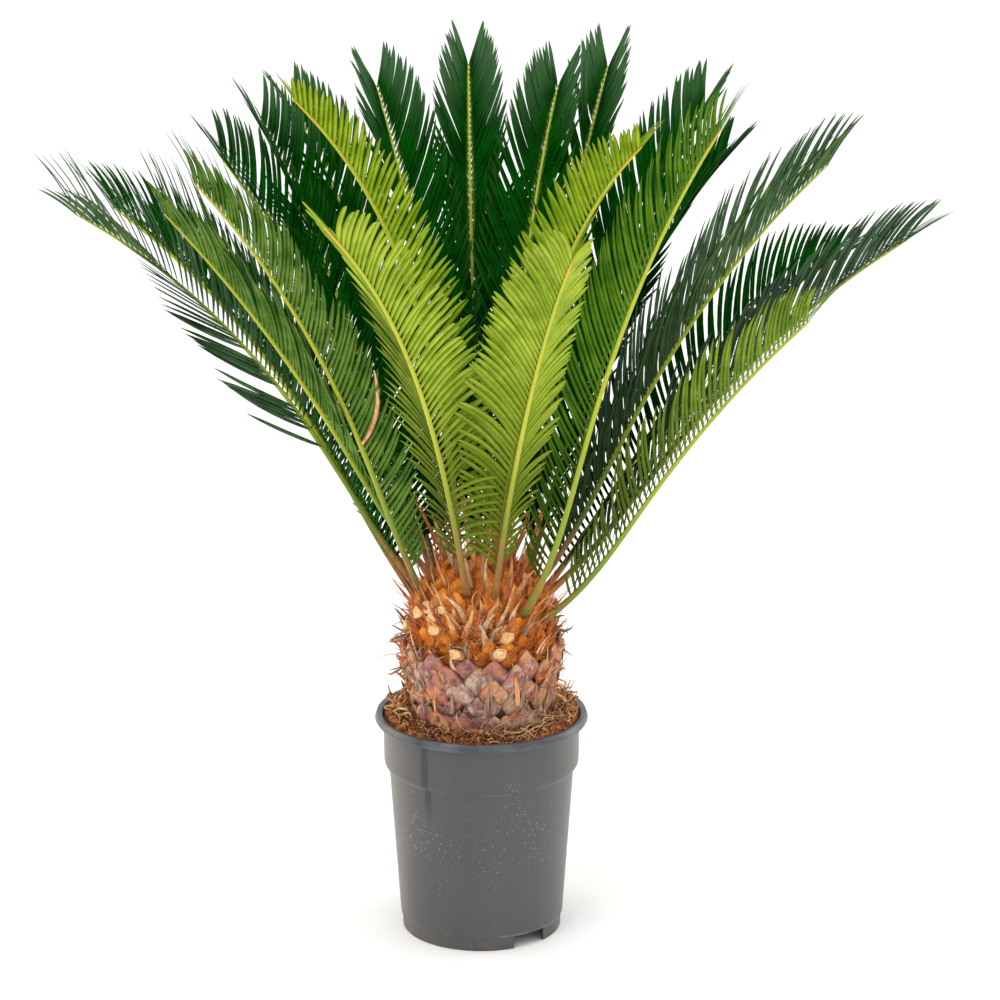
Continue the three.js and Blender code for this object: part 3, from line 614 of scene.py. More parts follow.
def makeSoilLitter():
    rng = random.Random(3)
    crumbFinishes = [
        plainFinish("crumbDark", (0.024, 0.008, 0.003), (0.10, 0.036, 0.012), 400),
        plainFinish("crumbBrown", (0.17, 0.060, 0.019), (0.34, 0.14, 0.048), 400),
        plainFinish("crumbTan", (0.36, 0.16, 0.062), (0.62, 0.36, 0.16), 400),
    ]
    layGrains(rng, "soilCrumbs", soil["crumbs"], crumbFinishes)
    layGrains(rng, "barkChips", soil["chips"], crumbFinishes)

    # coir all over
    finishes = [
        plainFinish("coirDark", (0.14, 0.050, 0.016), (0.28, 0.115, 0.040)),
        plainFinish("coirBrown", (0.32, 0.13, 0.042), (0.54, 0.26, 0.10)),
        plainFinish("coirPale", (0.54, 0.32, 0.15), (0.80, 0.57, 0.33)),
    ]
    rows = []
    count, bends = soil["fibres"]
    for _ in range(count):
        x, y, z = ringPlace(rng, 59, 83)
        turn = rng.uniform(0, math.tau)
        start, heading = (x, y, z + rng.uniform(0.2, 1.4)), outward(turn, rng.uniform(0, 0.5))
        long, thick = rng.uniform(4, 13), rng.uniform(0.14, 0.34)
        rows.append((start, heading, long, thick, rng.choice((0, 0, 1, 1, 2))))
    layStrands(rng, "coirFibres", rows, bends, finishes, settle=keepInPot)

    # pale roots on the right
    rows = []
    count, bends = soil["roots"]
    for _ in range(count):
        a, r = rng.gauss(-0.3, 0.75), rng.uniform(62, 82)
        turn = a + rng.choice((-1, 1)) * rng.uniform(0.5, 2.2)
        start = soilPoint(a, r, rng.uniform(0.4, 2.6))
        heading = outward(turn, rng.uniform(0, 0.8))
        long, thick = rng.uniform(14, 36), rng.uniform(0.2, 0.5)
        rows.append((start, heading, long, thick, rng.choice((1, 2, 2))))
    layStrands(rng, "paleRoots", rows, bends, finishes, settle=keepInPot)

    # standing tufts of old root at both sides
    rows = []
    count, bends = soil["tufts"]
    for k in range(count):
        middle, widest = (0.0, 0.8) if k % 2 else (math.pi, 1.5)
        a, r = rng.gauss(middle, 0.22), rng.uniform(70, 80)
        start = soilPoint(a, r, -1)
        heading = 0.35 * rng.gauss(0, 1), 0.35 * rng.gauss(0, 1), 1.0
        long, thick = rng.uniform(9, 24), rng.uniform(0.35, widest)
        rows.append((start, heading, long, thick, rng.choice((0, 1, 1, 2))))
    layStrands(rng, "rootTufts", rows, bends, finishes, 4, keepInPot)


makeSoil()
makeSoilLitter()
print("soil ready")


# trunk
trunk = {
    "foot": 204, "domeLevel": 292, "domeRadius": 60, "domeHigh": 52,
    "barrel": (
        (55, 204), (61, 211), (64, 221), (66, 231), (66.5, 241), (66, 251), (65, 261), (63.5, 271), (62, 281),
    ),
    "scalesRound": 14, "scaleWide": 16.5, "scaleHigh": 29, "scaleRise": 4.2, "scaleTop": 266,
    "scaleOutline": (0.30, 0.70, 1.0, 0.66, 0.30, 0.07), "woolOutline": (0.52, 0.86, 1.0, 0.82, 0.48, 0.22),
    "woolRows": ((110, 22), (100, 21), (89, 19), (77, 17), (64, 14), (50, 11), (35, 8), (18, 4)),
    "dryLeaves": 210, "flankLeaves": 90, "huggers": 36, "backStubs": 9,
    # cut stubs in front: compass angle, height, radius
    "stubs": (
        (290, 285, 6.6), (283, 272, 7.0), (233, 291, 7.2), (252, 272, 6.0),
        (214, 302, 7.6), (224, 309, 7.4), (231, 301, 7.0), (238, 306, 5.6),
    ),
    # strands: count, then stations, wander and droop
    "woolHairs": (6400, (5, 0.30, 0.0)), "shags": (230, (8, 0.30, 0.02)), "curls": (90, (12, 0.34, 0.04)),
    "pale": (0.56, 0.42, 0.31), "ragged": (0.60, 0.37, 0.19),
}


def barrelRadius(z):
    rows = [*trunk["barrel"], (trunk["domeRadius"], trunk["domeLevel"])]
    for (r0, z0), (r1, z1) in zip(rows, rows[1:]):
        if z <= z1:
            return r0 + (r1 - r0) * max(0, z - z0) / (z1 - z0)
    return trunk["domeRadius"] * math.sqrt(max(0, 1 - ((z - trunk["domeLevel"]) / trunk["domeHigh"]) ** 2))


def barrelPoint(a, z, out):
    return outward(a) * (barrelRadius(z) + out) + upward * z


def domePoint(seat, az, out=0.0):
    s, a = seat * rad, az * rad
    radius, high = trunk["domeRadius"], trunk["domeHigh"]
    normal = unit(np.array([
        math.sin(s) * math.cos(a) / radius, math.sin(s) * math.sin(a) / radius, math.cos(s) / high,
    ]))
    flat, level = radius * math.sin(s), trunk["domeLevel"] + high * math.cos(s)
    return np.array([flat * math.cos(a), flat * math.sin(a), level]) + normal * out, normal


def flankPoint(seat, az, out=0.0):
    # past the dome's edge the seat goes on down the barrel
    if seat <= 90:
        return domePoint(seat, az, out)
    level = trunk["domeLevel"] - (seat - 90) * 1.25
    return barrelPoint(az * rad, level, out), outward(az * rad)


def barkFinish(name, dark, mid, warm, paleShare):
    # the tones run into each other inside one scale
    bark = Finish(name, 0.8)
    step, grain = bark.step, bark.grain
    mottle, fibres = grain(95, 5, 0.62), grain(420, 4, 0.6, (1, 1, 0.12))
    bark.prime(step(mottle, 0.36, 0.62), dark, mid)
    bark.paint(step(grain(62, 4, 0.6, shift=(7, 2, 4)), 0.47, 0.60) * 0.8, warm)
    clouds = grain(150, 6, 0.68, shift=(3, 5, 1)) + grain(42, 2, shift=(9, 2, 6)) * 0.7
    flakes = step(clouds, 0.90 - paleShare, 1.0 - paleShare)
    bark.paint(flakes * 0.8, trunk["pale"])
    bark.paint(step(fibres, 0.5, 0.8) * 0.4, (0.50, 0.29, 0.18))
    # ragged ends; the sides and foot of each scale are darkened, painted shade in the gaps and where the
    # scales overlap
    along, across = bark.axis(bark.uv, "Y"), bark.axis(bark.uv, "X")
    edge = step(along + grain(260, 4) * 0.20, 0.90, 1.04) * step(grain(24, 2, shift=(1, 8, 3)), 0.42, 0.58)
    bark.paint(edge * 0.85, trunk["ragged"])
    bark.paint(step(abs(across - 0.5) + grain(130, 3) * 0.12, 0.46, 0.56) * 0.75, (0.060, 0.020, 0.012))
    bark.paint((1 - step(along, 0.0, 0.34)) * 0.85, (0.045, 0.016, 0.010))
    return bark.close(mottle * 0.6 + fibres * 0.5 + flakes * 0.35, 0.0009, 0.66 + flakes * 0.25)


def woolFinish(name, dark, light):
    wool = Finish(name, 0.95, 0.15)
    tufts, hairs = wool.grain(110, 5, 0.7), wool.grain(900, 3, 0.6, (1, 1, 0.2))
    wool.prime(wool.step(tufts * 0.75 + hairs * 0.25, 0.32, 0.68), dark, light)
    return wool.close(tufts + hairs * 0.6, 0.0016)


def makeTrunkCore():
    foot, level, radius, high = (trunk[key] for key in ("foot", "domeLevel", "domeRadius", "domeHigh"))
    profile = [(0, foot - 0.8), (52, foot - 0.8)] + [(r - 2.5, z) for r, z in trunk["barrel"]]
    profile.append((radius - 1.2, level))
    for s in range(84, 0, -6):
        profile.append(((radius - 1) * math.sin(s * rad), level + (high - 1) * math.cos(s * rad)))
    profile.append((0, level + high - 1))
    bm = spun(profile, 84)
    for v in bm.verts:
        out = Vector((v.co.x, v.co.y, max(0, v.co.z - level * mm))).normalized()
        if v.co.z > foot * mm:
            v.co += out * noise.fractal(v.co * 70, 0.8, 2.1, 3) * 1.3 * mm
    core = Finish("trunkHeart", 0.95)
    mottle = core.grain(120, 5, 0.65)
    # below the scale tops the heart is near black, a painted shade for the crevices between the scales;
    # above, it takes the wool's orange
    lower = core.mix(core.step(mottle, 0.35, 0.7), (0.026, 0.011, 0.006), (0.13, 0.055, 0.030))
    upper = core.mix(core.step(mottle, 0.35, 0.68), (0.22, 0.050, 0.007), (0.70, 0.23, 0.030))
    core.prime(core.step(core.axis(core.object, "Z"), 0.252, 0.272), lower, upper)
    core.close(mottle, 0.0015)
    addPiece("trunkHeart", meshOf(bm, "trunkHeart", 80), [core], ["trunk"])


def layScales(name, pattern, seats, finishes, outlineWidths):
    # seats: foot point, across, up, out, half width, height, rise, finish
    x, y, z = pattern.co.T
    outline = np.interp(z, (0, 0.22, 0.48, 0.72, 0.90, 1.0), outlineWidths)
    dome = (1 - 0.75 * np.abs(x) ** 4) * np.interp(z, (0, 0.25, 0.55, 0.8, 1.0), (0.0, 0.6, 0.92, 1.0, 0.9))
    points = []
    for k, (foot, across, up, out, wide, high, rise, _) in enumerate(seats):
        shape = (
            foot
            + across * (x * outline * wide)[:, None]
            + up * (z * high)[:, None]
            + out * (dome * rise + y * 2.4)[:, None]
        )
        shift = Vector((k * 3.7, k * 1.3, 0))
        rough = np.array([noise.fractal(Vector(p) * 0.16 + shift, 0.9, 2.0, 3) for p in shape])
        sway = np.array([noise.noise(Vector(p) * 0.07 + shift) for p in shape])
        points.append(shape + out * (rough * 1.5)[:, None] + across * (sway * 2.2 * z)[:, None])
    kinds = [kind for *_, kind in seats]
    pattern.uv = np.stack((x * 0.5 + 0.5, z), 1)
    layPiece(name, pattern, np.array(points), finishes, kinds=kinds)


def makeScales():
    rng = random.Random(11)
    seats = []
    columns = 2 * trunk["scalesRound"]
    foot = trunk["foot"]
    for j, (_, z) in enumerate(trunk["barrel"]):
        for k in range(columns):
            if (j + k) % 2 or z > trunk["scaleTop"]:
                continue
            a = (k + rng.uniform(-0.32, 0.32)) / columns * math.tau
            out = outward(a)
            across = unit(aside(a, rng.uniform(-0.16, 0.16)))
            lean = rng.uniform(-0.02, 0.13) + (0.12 if z < 215 else 0)
            up = unit(upward + out * lean)
            high = trunk["scaleHigh"] * rng.uniform(0.78, 1.25)
            low = z - high * 0.52
            start = out * (barrelRadius(max(low, foot)) - 1.8) + upward * low
            wide = trunk["scaleWide"] * rng.uniform(0.86, 1.12)
            rise = trunk["scaleRise"] * rng.uniform(0.75, 1.1)
            # more of them are rust red higher up
            kind = 2 if rng.random() < 0.25 + (z - foot) / 180 else rng.choice((0, 0, 1))
            seats.append((start, across, up, out, wide, high, rise, kind))
    finishes = [
        barkFinish("barkPurple", (0.150, 0.052, 0.054), (0.35, 0.155, 0.145), (0.50, 0.180, 0.095), 0.03),
        barkFinish("barkGrey", (0.21, 0.105, 0.090), (0.46, 0.285, 0.225), (0.50, 0.235, 0.125), 0.07),
        barkFinish("barkRust", (0.23, 0.060, 0.036), (0.47, 0.165, 0.095), (0.60, 0.30, 0.14), 0.02),
    ]
    layScales("leafScales", slabPattern(9), seats, finishes, trunk["scaleOutline"])


def makeWool():
    rng = random.Random(17)
    seats = []
    for seat, count in trunk["woolRows"]:
        for k in range(count):
            az = 360 * (k + rng.uniform(-0.25, 0.25) + seat * 0.37) / count
            point, normal = flankPoint(seat + rng.uniform(-4, 4), az, -2.5)
            across = unit(aside(az * rad, rng.uniform(-0.2, 0.2)))
            up = unit(np.cross(normal, across))
            up = up if up[2] > 0 else -up
            across = np.cross(up, normal)
            up = unit(up + normal * rng.uniform(0.0, 0.22))
            high = rng.uniform(18, 30)
            wide, rise = rng.uniform(7.0, 11), rng.uniform(1.2, 3.2)
            kind = rng.choice((0, 0, 0, 1, 1, 2) if seat < 100 else (1, 1, 0, 1))
            seats.append((point - up * high * 0.5, across, up, normal, wide, high, rise, kind))
    finishes = [
        woolFinish("orangeWool", (0.46, 0.105, 0.012), (0.94, 0.345, 0.058)),
        woolFinish("rustWool", (0.26, 0.050, 0.008), (0.66, 0.20, 0.030)),
        woolFinish("tanWool", (0.60, 0.22, 0.060), (0.96, 0.48, 0.18)),
    ]
    layScales("woollyBases", slabPattern(7), seats, finishes, trunk["woolOutline"])
    # short hairs that stand off the wool
    rows = []
    count, bends = trunk["woolHairs"]
    for _ in range(count):
        seat = 8 + 108 * math.sqrt(rng.random())
        point, normal = flankPoint(seat, rng.uniform(0, 360), 1.0)
        heading = unit(normal + 0.8 * gauss3(rng, 1, 0.5))
        long, thick = rng.uniform(4, 11), rng.uniform(0.10, 0.26)
        rows.append((point, heading, long, thick, rng.choice((0, 0, 1, 2))))
    layStrands(rng, "woolHairs", rows, bends, finishes)


def makeStubs():
    # cut stalks of old leaves, most of them in front
    rng = random.Random(23)
    rows = []
    for k in range(trunk["backStubs"]):
        a = (k + rng.uniform(-0.3, 0.3)) / trunk["backStubs"] * math.tau
        if math.sin(a) > -0.5:
            rows.append((math.degrees(a), rng.uniform(276, 294), rng.uniform(3.8, 5.6)))
    rows += trunk["stubs"]
    stations = np.array([0, 0.45, 0.86, 0.96, 1.0, 1.0, 0.985])
    grow = np.array([1.25, 1.05, 0.98, 0.95, 0.86, 0.72, 0.62])
    # past the fourth station is the cut face
    pattern = tubePattern(stations, roundSection(14), lambda f: int(min(v.co.z for v in f.verts) > 3.5))
    centres, wides = [], []
    for az, z, radius in rows:
        out = unit(outward(az * rad, rng.uniform(0.25, 0.75)))
        centres.append(barrelPoint(az * rad, z, -4) + out * (stations * rng.uniform(13, 16))[:, None])
        wides.append(grow * radius)
    centres, wides = np.array(centres), np.array(wides)
    heading = np.broadcast_to(unit(centres[:, 3:4] - centres[:, 0:1]), centres.shape)
    across = unit(np.cross(upward, heading))
    points = sweep(pattern, centres, across, np.cross(heading, across), wides, wides * 0.78)
    # ragged round the edge
    lumps = np.array([[noise.noise(Vector(p) * 0.22) for p in one] for one in points])
    middle = centres[:, pattern.station]
    points = middle + (points - middle) * (1 + 0.45 * lumps)[..., None]
    side = plainFinish("stubSide", (0.30, 0.10, 0.03), (0.72, 0.38, 0.14), 180, 0.85, 0.0006, (1, 1, 0.3))
    face = Finish("stubFace", 0.8)
    pith = face.grain(420, 4, 0.6)
    face.prime(face.step(pith, 0.35, 0.7), (0.66, 0.36, 0.14), (0.90, 0.66, 0.36))
    values = {"Vector": face.object, "Scale": 120, "Distortion": 4}
    ring = face.node("TexWave", {"wave_type": "RINGS"}, values, 1)
    face.paint(face.step(ring, 0.55, 0.9) * 0.45, (0.62, 0.27, 0.07))
    face.close(pith, 0.0004)
    layPiece("cutStubs", pattern, points, [side, face])


def layBlades(pattern, taper, starts, dirs, ups, longs, wides, thick, sides, bows, twists=None, sags=0):
    # blades: straight by dir, bowed in their own plane by sides and out of it by bows
    starts, dirs, ups = np.array(starts), np.array(dirs), np.array(ups)
    longs, wides, sides, bows = (np.array(values)[:, None] for values in (longs, wides, sides, bows))
    s = pattern.stations[None, :]
    across = np.cross(ups, dirs)
    centre = (
        starts[:, None]
        + dirs[:, None] * (longs * s)[..., None]
        + across[:, None] * (longs * sides * 4 * s * (1 - s))[..., None]
        + ups[:, None] * (longs * bows * s ** 2)[..., None]
    )
    centre[..., 2] -= longs * np.reshape(sags, (-1, 1)) * s ** 2
    tangent = unit(np.gradient(centre, pattern.stations, axis=1))
    wing = unit(np.cross(np.broadcast_to(ups[:, None], tangent.shape), tangent))
    normal = np.cross(tangent, wing)
    if twists is not None:
        cos, sin = (turned(np.array(twists)[:, None, None]) for turned in (np.cos, np.sin))
        wing, normal = wing * cos + normal * sin, normal * cos - wing * sin
    taper = taper[None, :]
    return sweep(pattern, centre, wing, normal, wides * taper, thick * np.maximum(taper, 0.25))


bladeSection = np.array([(1, 0.1), (0.5, 0.0), (0, -0.35), (-0.5, 0.0), (-1, 0.1), (0, -0.95)])


def makeDryLeaves():
    # dry pointed scale leaves among the stalks
    rng = random.Random(29)
    blades = []
    for k in range(trunk["dryLeaves"]):
        seat = 12 + 88 * math.sqrt((k + 0.5) / trunk["dryLeaves"])
        az = k * 137.5 + 11
        point, normal = domePoint(min(seat, 96), az, -1.5)
        tilt = (2 + 0.34 * seat + 18 * (rng.random() - 0.5)) * rad
        along = outward(az * rad) * math.sin(tilt) + upward * math.cos(tilt)
        along = unit(along + 0.18 * rng.gauss(0, 1) * aside(az * rad))
        size = rng.uniform(42, 82) if seat < 50 else rng.uniform(16, 44)
        end = point + along * size
        if clearOfRibs(np.array([point + along * 3, (point + end) / 2, end]), 1.0):
            wide, bow, side = rng.uniform(1.8, 4.8), -rng.uniform(-0.06, 0.22), rng.uniform(-0.08, 0.08)
            blades.append((point, along, normal, size, wide, bow, side, rng.choice((0, 0, 1, 1, 2))))
    # a few on the trunk's upper flank that stand away from it
    for _ in range(trunk["flankLeaves"]):
        a, z = rng.uniform(0, math.tau), rng.uniform(232, 290)
        out = outward(a)
        along = unit(out * rng.uniform(0.15, 0.7) + upward + 0.3 * rng.gauss(0, 1) * aside(a))
        size, wide = rng.uniform(14, 34), rng.uniform(1.6, 4.0)
        bow, side = -rng.uniform(-0.1, 0.25), rng.uniform(-0.12, 0.12)
        blades.append((barrelPoint(a, z, 1), along, out, size, wide, bow, side, rng.choice((0, 1, 2, 3, 3))))
    # long ones that lie against the scales and follow the barrel's slope
    reach = math.cos(0.25)
    for _ in range(trunk["huggers"]):
        a, z = rng.uniform(0, math.tau), rng.uniform(212, 248)
        out, size = outward(a), rng.uniform(18, 44)
        slope = (barrelRadius(z + size * reach) - barrelRadius(z) + rng.uniform(1.0, 3.0)) / size
        along = unit(upward + 0.2 * rng.gauss(0, 1) * aside(a) + out * slope)
        point, wide = barrelPoint(a, z, rng.uniform(4.2, 5.4)), rng.uniform(1.4, 4.2)
        bow, side = rng.uniform(-0.05, 0.05), rng.uniform(-0.08, 0.08)
        blades.append((point, along, out, size, wide, bow, side, rng.choice((0, 0, 3, 3, 3))))
    starts, dirs, outs, longs, wides, bows, sides, kinds = zip(*blades)
    ups = [-unit(out - along * out.dot(along)) for out, along in zip(outs, dirs)]
    stations = np.array([0, 0.12, 0.3, 0.5, 0.68, 0.84, 0.94, 1.0])
    pattern = tubePattern(stations, bladeSection)
    taper = np.array((0.9, 1, 0.95, 0.8, 0.58, 0.34, 0.16, 0.03))
    points = layBlades(pattern, taper, starts, dirs, ups, longs, wides, 0.75, sides, bows)
    finishes = [
        plainFinish(name, dark, light, 260, roughness, 0.0004, (1, 1, 0.15))
        for name, dark, light, roughness in (
            ("dryTan", (0.40, 0.145, 0.050), (0.82, 0.42, 0.175), 0.8),
            ("dryRust", (0.24, 0.052, 0.016), (0.56, 0.18, 0.052), 0.8),
            ("dryCream", (0.48, 0.27, 0.13), (0.80, 0.56, 0.33), 0.8),
            ("dryGrey", (0.16, 0.085, 0.055), (0.42, 0.28, 0.20), 0.85),
        )
    ]
    layPiece("dryScaleLeaves", pattern, points, finishes, kinds=kinds)

    # grey shreds that curl off both flanks
    rows = []
    count, bends = trunk["shags"]
    for k in range(count):
        a = rng.gauss(0, 0.55) + (math.pi if k % 5 < 3 else 0)
        z = rng.uniform(226, 292)
        heading = unit(outward(a) * rng.uniform(0.3, 1.0) + gauss3(rng, 0.4, 0.5, 0.5))
        long, thick = rng.uniform(8, 24), rng.uniform(0.35, 1.25)
        rows.append((barrelPoint(a, z, 1), heading, long, thick, rng.choice((0, 1, 3, 3))))
    layStrands(rng, "greyShreds", rows, bends, finishes, 5)

    # pale curls, thickest in front
    rows = []
    count, bends = trunk["curls"]
    for k in range(count):
        a = rng.uniform(0, math.tau) if k % 2 else rng.gauss(-1.5, 0.10)
        z = rng.uniform(250, 318) if k % 2 else rng.uniform(284, 312)
        heading = unit(outward(a) * 0.7 + gauss3(rng, 0.6, 0.4, 0.6))
        long, thick = rng.uniform(12, 34), rng.uniform(0.22, 0.5)
        rows.append((barrelPoint(a, z, 2.5), heading, long, thick, rng.choice((0, 0, 2))))
    layStrands(rng, "paleCurls", rows, bends, finishes)


# fronds
fronds = {
    # compass angle, seat, lean, arch, kick, length, sweep, lift, roll, close, kind
    "table": (
        (184, 64, 26, 33, 12, 472, 25, 45, -59, 0.60, "dark"),
        (201, 46, 27, 18, 14, 440, 21, 50, -10, 0.55, "olive"),
        (212, 68, 18, 26, 10, 464, 3, 44, 0, 0.60, "leafy"),
        (255, 52, 27, 26, 0, 492, -16, 40, 0, 0.78, "bright"),
        (284, 56, 28, 21, -6, 448, 0, 28, 0, 0.60, "bright"),
        (298, 30, 14, 41, -3, 498, 2, 46, 0, 0.74, "lime"),
        (233, 32, 9, 39, -8, 500, -13, 48, 0, 0.74, "lime"),
        (140, 64, 20, 20, 11, 441, -4, 48, 0, 0.65, "deep"),
        (109, 64, 19, 32, 5, 473, 0, 46, 0, 0.60, "deep"),
        (93, 50, 24, 28, 12, 495, -2, 50, 0, 0.58, "deep"),
        (77, 64, 19, 32, 8, 472, -1, 48, 0, 0.60, "deep"),
        (68, 46, 26, 24, 14, 496, 5, 50, 0, 0.62, "deep"),
        (310, 74, 16, 26, 23, 543, -7, 54, 0, 0.47, "fresh"),
        (40, 62, 21, 37, 2, 430, 6, 48, 0, 0.46, "deep"),
        (345, 56, 22, 24, 15, 476, -11, 56, 10, 0.30, "dark"),
        (18, 78, 36, 26, 18, 455, -4, 48, 12, 0.32, "dark"),
        (335, 86, 30, 25, 24, 430, -38, 54, 0, 0.50, "green"),
        (53, 74, 24, 27, 14, 486, 0, 48, 0, 0.60, "deep"),
        (126, 54, 20, 32, 8, 455, 0, 48, 0, 0.64, "deep"),
        (156, 48, 20, 26, 12, 418, -8, 46, 0, 0.66, "deep"),
        (142, 86, 36, 26, 18, 430, 4, 44, 0, 0.72, "deep"),
        (118, 86, 37, 26, 20, 440, -3, 44, 0, 0.72, "deep"),
        (88, 84, 38, 26, 20, 445, -4, 44, 0, 0.70, "deep"),
        (32, 84, 35, 36, 14, 425, 2, 40, 0, 0.72, "deep"),
        (170, 76, 25, 30, 12, 440, 2, 48, 0, 0.68, "deep"),
    ),
    "steps": 60, "bend": 1.6, "kickEnd": 0.35, "bare": 0.08,
    "leaflet": 92, "clear": 2.6,
    # by place in the table: share of the usual leaflet length, and of that in the first row;
    # the first row's own close; how much flatter the V opens at the foot, where that and the
    # roll fade out; how far the first row is bald or thin; where the leaflets end; and how
    # far the other row fans out at the tip
    "leaf": {1: 0.92, 2: 0.84, 3: 0.75, 4: 0.95, 5: 0.70, 6: 0.62, 14: 1.12, 15: 1.06},
    "first": {4: 0.7}, "closeFirst": {0: 0.35, 1: 0.34, 2: 0.54, 4: 0.52, 14: 0.48, 15: 0.44},
    "open": {0: 38, 3: 8, 4: 4}, "openEnd": {0: 0.9}, "rollEnd": {0: 0.85},
    "bald": {0: 0.27}, "thin": {0: 0.56}, "leafEnd": {3: 0.95}, "fan": {0: 0.8, 1: 0.8, 2: 0.8},
    # what a leaflet may do to stay clear: shares of its length, and turns in degrees
    "shares": (1, 0.82, 0.64, 0.48), "turns": (0, 9, -9, 18, -16, 27, -24),
    # up to this place the other row of the fourth frond is in shade
    "shaded": (3, 0.62),
    # of the deep green ones, those on the right
    "right": (9, 10, 11, 13, 17, 22, 23),
}
Frond = namedtuple("Frond", "az seat lean arch kick long sweep lift roll close kind")
table = [Frond(*row) for row in fronds["table"]]


def own(key, f, usual):
    return fronds[key].get(f, usual)


def ribWidth(u):
    return 1.9 + 3.5 * np.maximum(0, 1 - u) ** 1.2 + 3.2 * np.exp(-u / 0.03)


def ribThick(u):
    return 2 + 3.4 * np.maximum(0, 1 - u) + 1.2 * np.exp(-u / 0.03)


def leafletLength(v):
    return fronds["leaflet"] * (0.4 + 0.6 * min(1, v / 0.3) ** 0.8 - 0.48 * max(0, (v - 0.72) / 0.28) ** 1.6)


def leafletAngle(v):
    return 86 - 44 * v ** 0.8 - 2 * max(0, (v - 0.7) / 0.3)


def ribLine(row):
    steps, bend = fronds["steps"], fronds["bend"]

    def heading(u):
        kick = row.kick * np.maximum(0, 1 - u / fronds["kickEnd"]) ** 2
        tilt, turn = (row.lean + row.arch * u ** bend + kick) * rad, (row.az + row.sweep * u ** bend) * rad
        return np.stack((np.sin(tilt) * np.cos(turn), np.sin(tilt) * np.sin(turn), np.cos(tilt)), 1), turn

    u = np.arange(steps + 1) / steps
    tangent, turn = heading(u)
    side = np.stack((-np.sin(turn), np.cos(turn), 0 * turn), 1)
    start, _ = domePoint(row.seat, row.az, 0.3)
    moves = heading((np.arange(steps) + 0.5) / steps)[0] * row.long / steps
    point = start + np.concatenate((np.zeros((1, 3)), np.cumsum(moves, 0)))
    return {"u": u, "point": point, "tangent": tangent, "side": side, "leafy": np.cross(tangent, side)}


def ribAt(rib, u):
    found = {}
    for key in ("point", "tangent", "side", "leafy"):
        value = np.stack([np.interp(u, rib["u"], rib[key][:, k]) for k in range(3)], -1)
        found[key] = value if key == "point" else unit(value)
    return found


# every rib as a chain of short straight pieces
ribs = [ribLine(row) for row in table]
ribFrom = np.concatenate([rib["point"][:-1:2] for rib in ribs])
ribTo = np.concatenate([rib["point"][2::2] for rib in ribs])
ribOwner = np.repeat(np.arange(len(ribs)), fronds["steps"] // 2)
ribStations = ribs[0]["u"][:-1:2]
ribRadius = np.tile(np.hypot(ribWidth(ribStations), ribThick(ribStations)) / 2, len(ribs))


def segmentGap(a, b, c, d):
    # least distance between segments a-b and c-d
    u, v, w = b - a, d - c, a - c
    uu, uv, vv = (u * u).sum(-1), (u * v).sum(-1), (v * v).sum(-1)
    uw, vw = (u * w).sum(-1), (v * w).sum(-1)
    s = np.clip((uv * vw - vv * uw) / np.maximum(uu * vv - uv * uv, 1e-9), 0, 1)
    t = np.clip((uv * s + vw) / vv, 0, 1)
    s = np.clip((uv * t - uw) / uu, 0, 1)
    return np.linalg.norm(w + u * s[..., None] - v * t[..., None], axis=-1)


def clearOfRibs(line, radius, owner=-1):
    gaps = segmentGap(line[:-1, None], line[1:, None], ribFrom[None], ribTo[None]).min(0)
    return bool(np.all((gaps > ribRadius + radius) | (ribOwner == owner)))


def insideTrunk(p, margin):
    out = math.hypot(p[0], p[1])
    if p[2] < trunk["domeLevel"]:
        return out < 72 + margin
    across = out / (trunk["domeRadius"] + 6 + margin)
    high = (p[2] - trunk["domeLevel"]) / (trunk["domeHigh"] + 6 + margin)
    return across ** 2 + high ** 2 < 1


# the leaflets that are in place, by their centre lines
class Crown:
    def __init__(self, room):
        self.count = 0
        self.lines = np.zeros((room, 4, 3))
        self.middles = np.full((room, 3), 1e6)
        self.reaches = np.zeros(room)
        self.owners = np.full(room, -1)

    def takes(self, line, reach, owner):
        # adds a leaflet's line if it is clear of the others
        middle = line.mean(0)
        near = np.linalg.norm(self.middles - middle, axis=1) < self.reaches + reach
        near = np.nonzero((self.owners != owner) & near)[0]
        if len(near):
            others = self.lines[None, near]
            gaps = segmentGap(
                line[:-1, None, None], line[1:, None, None], others[:, :, :-1], others[:, :, 1:],
            )
            if gaps.min() < fronds["clear"]:
                return False
        k = self.count
        self.lines[k], self.middles[k], self.reaches[k], self.owners[k] = line, middle, reach, owner
        self.count += 1
        return True


Leaflet = namedtuple("Leaflet", "owner v root along up size side bow twist hand sag")
sample = np.array([0, 0.34, 0.68, 1])[:, None]


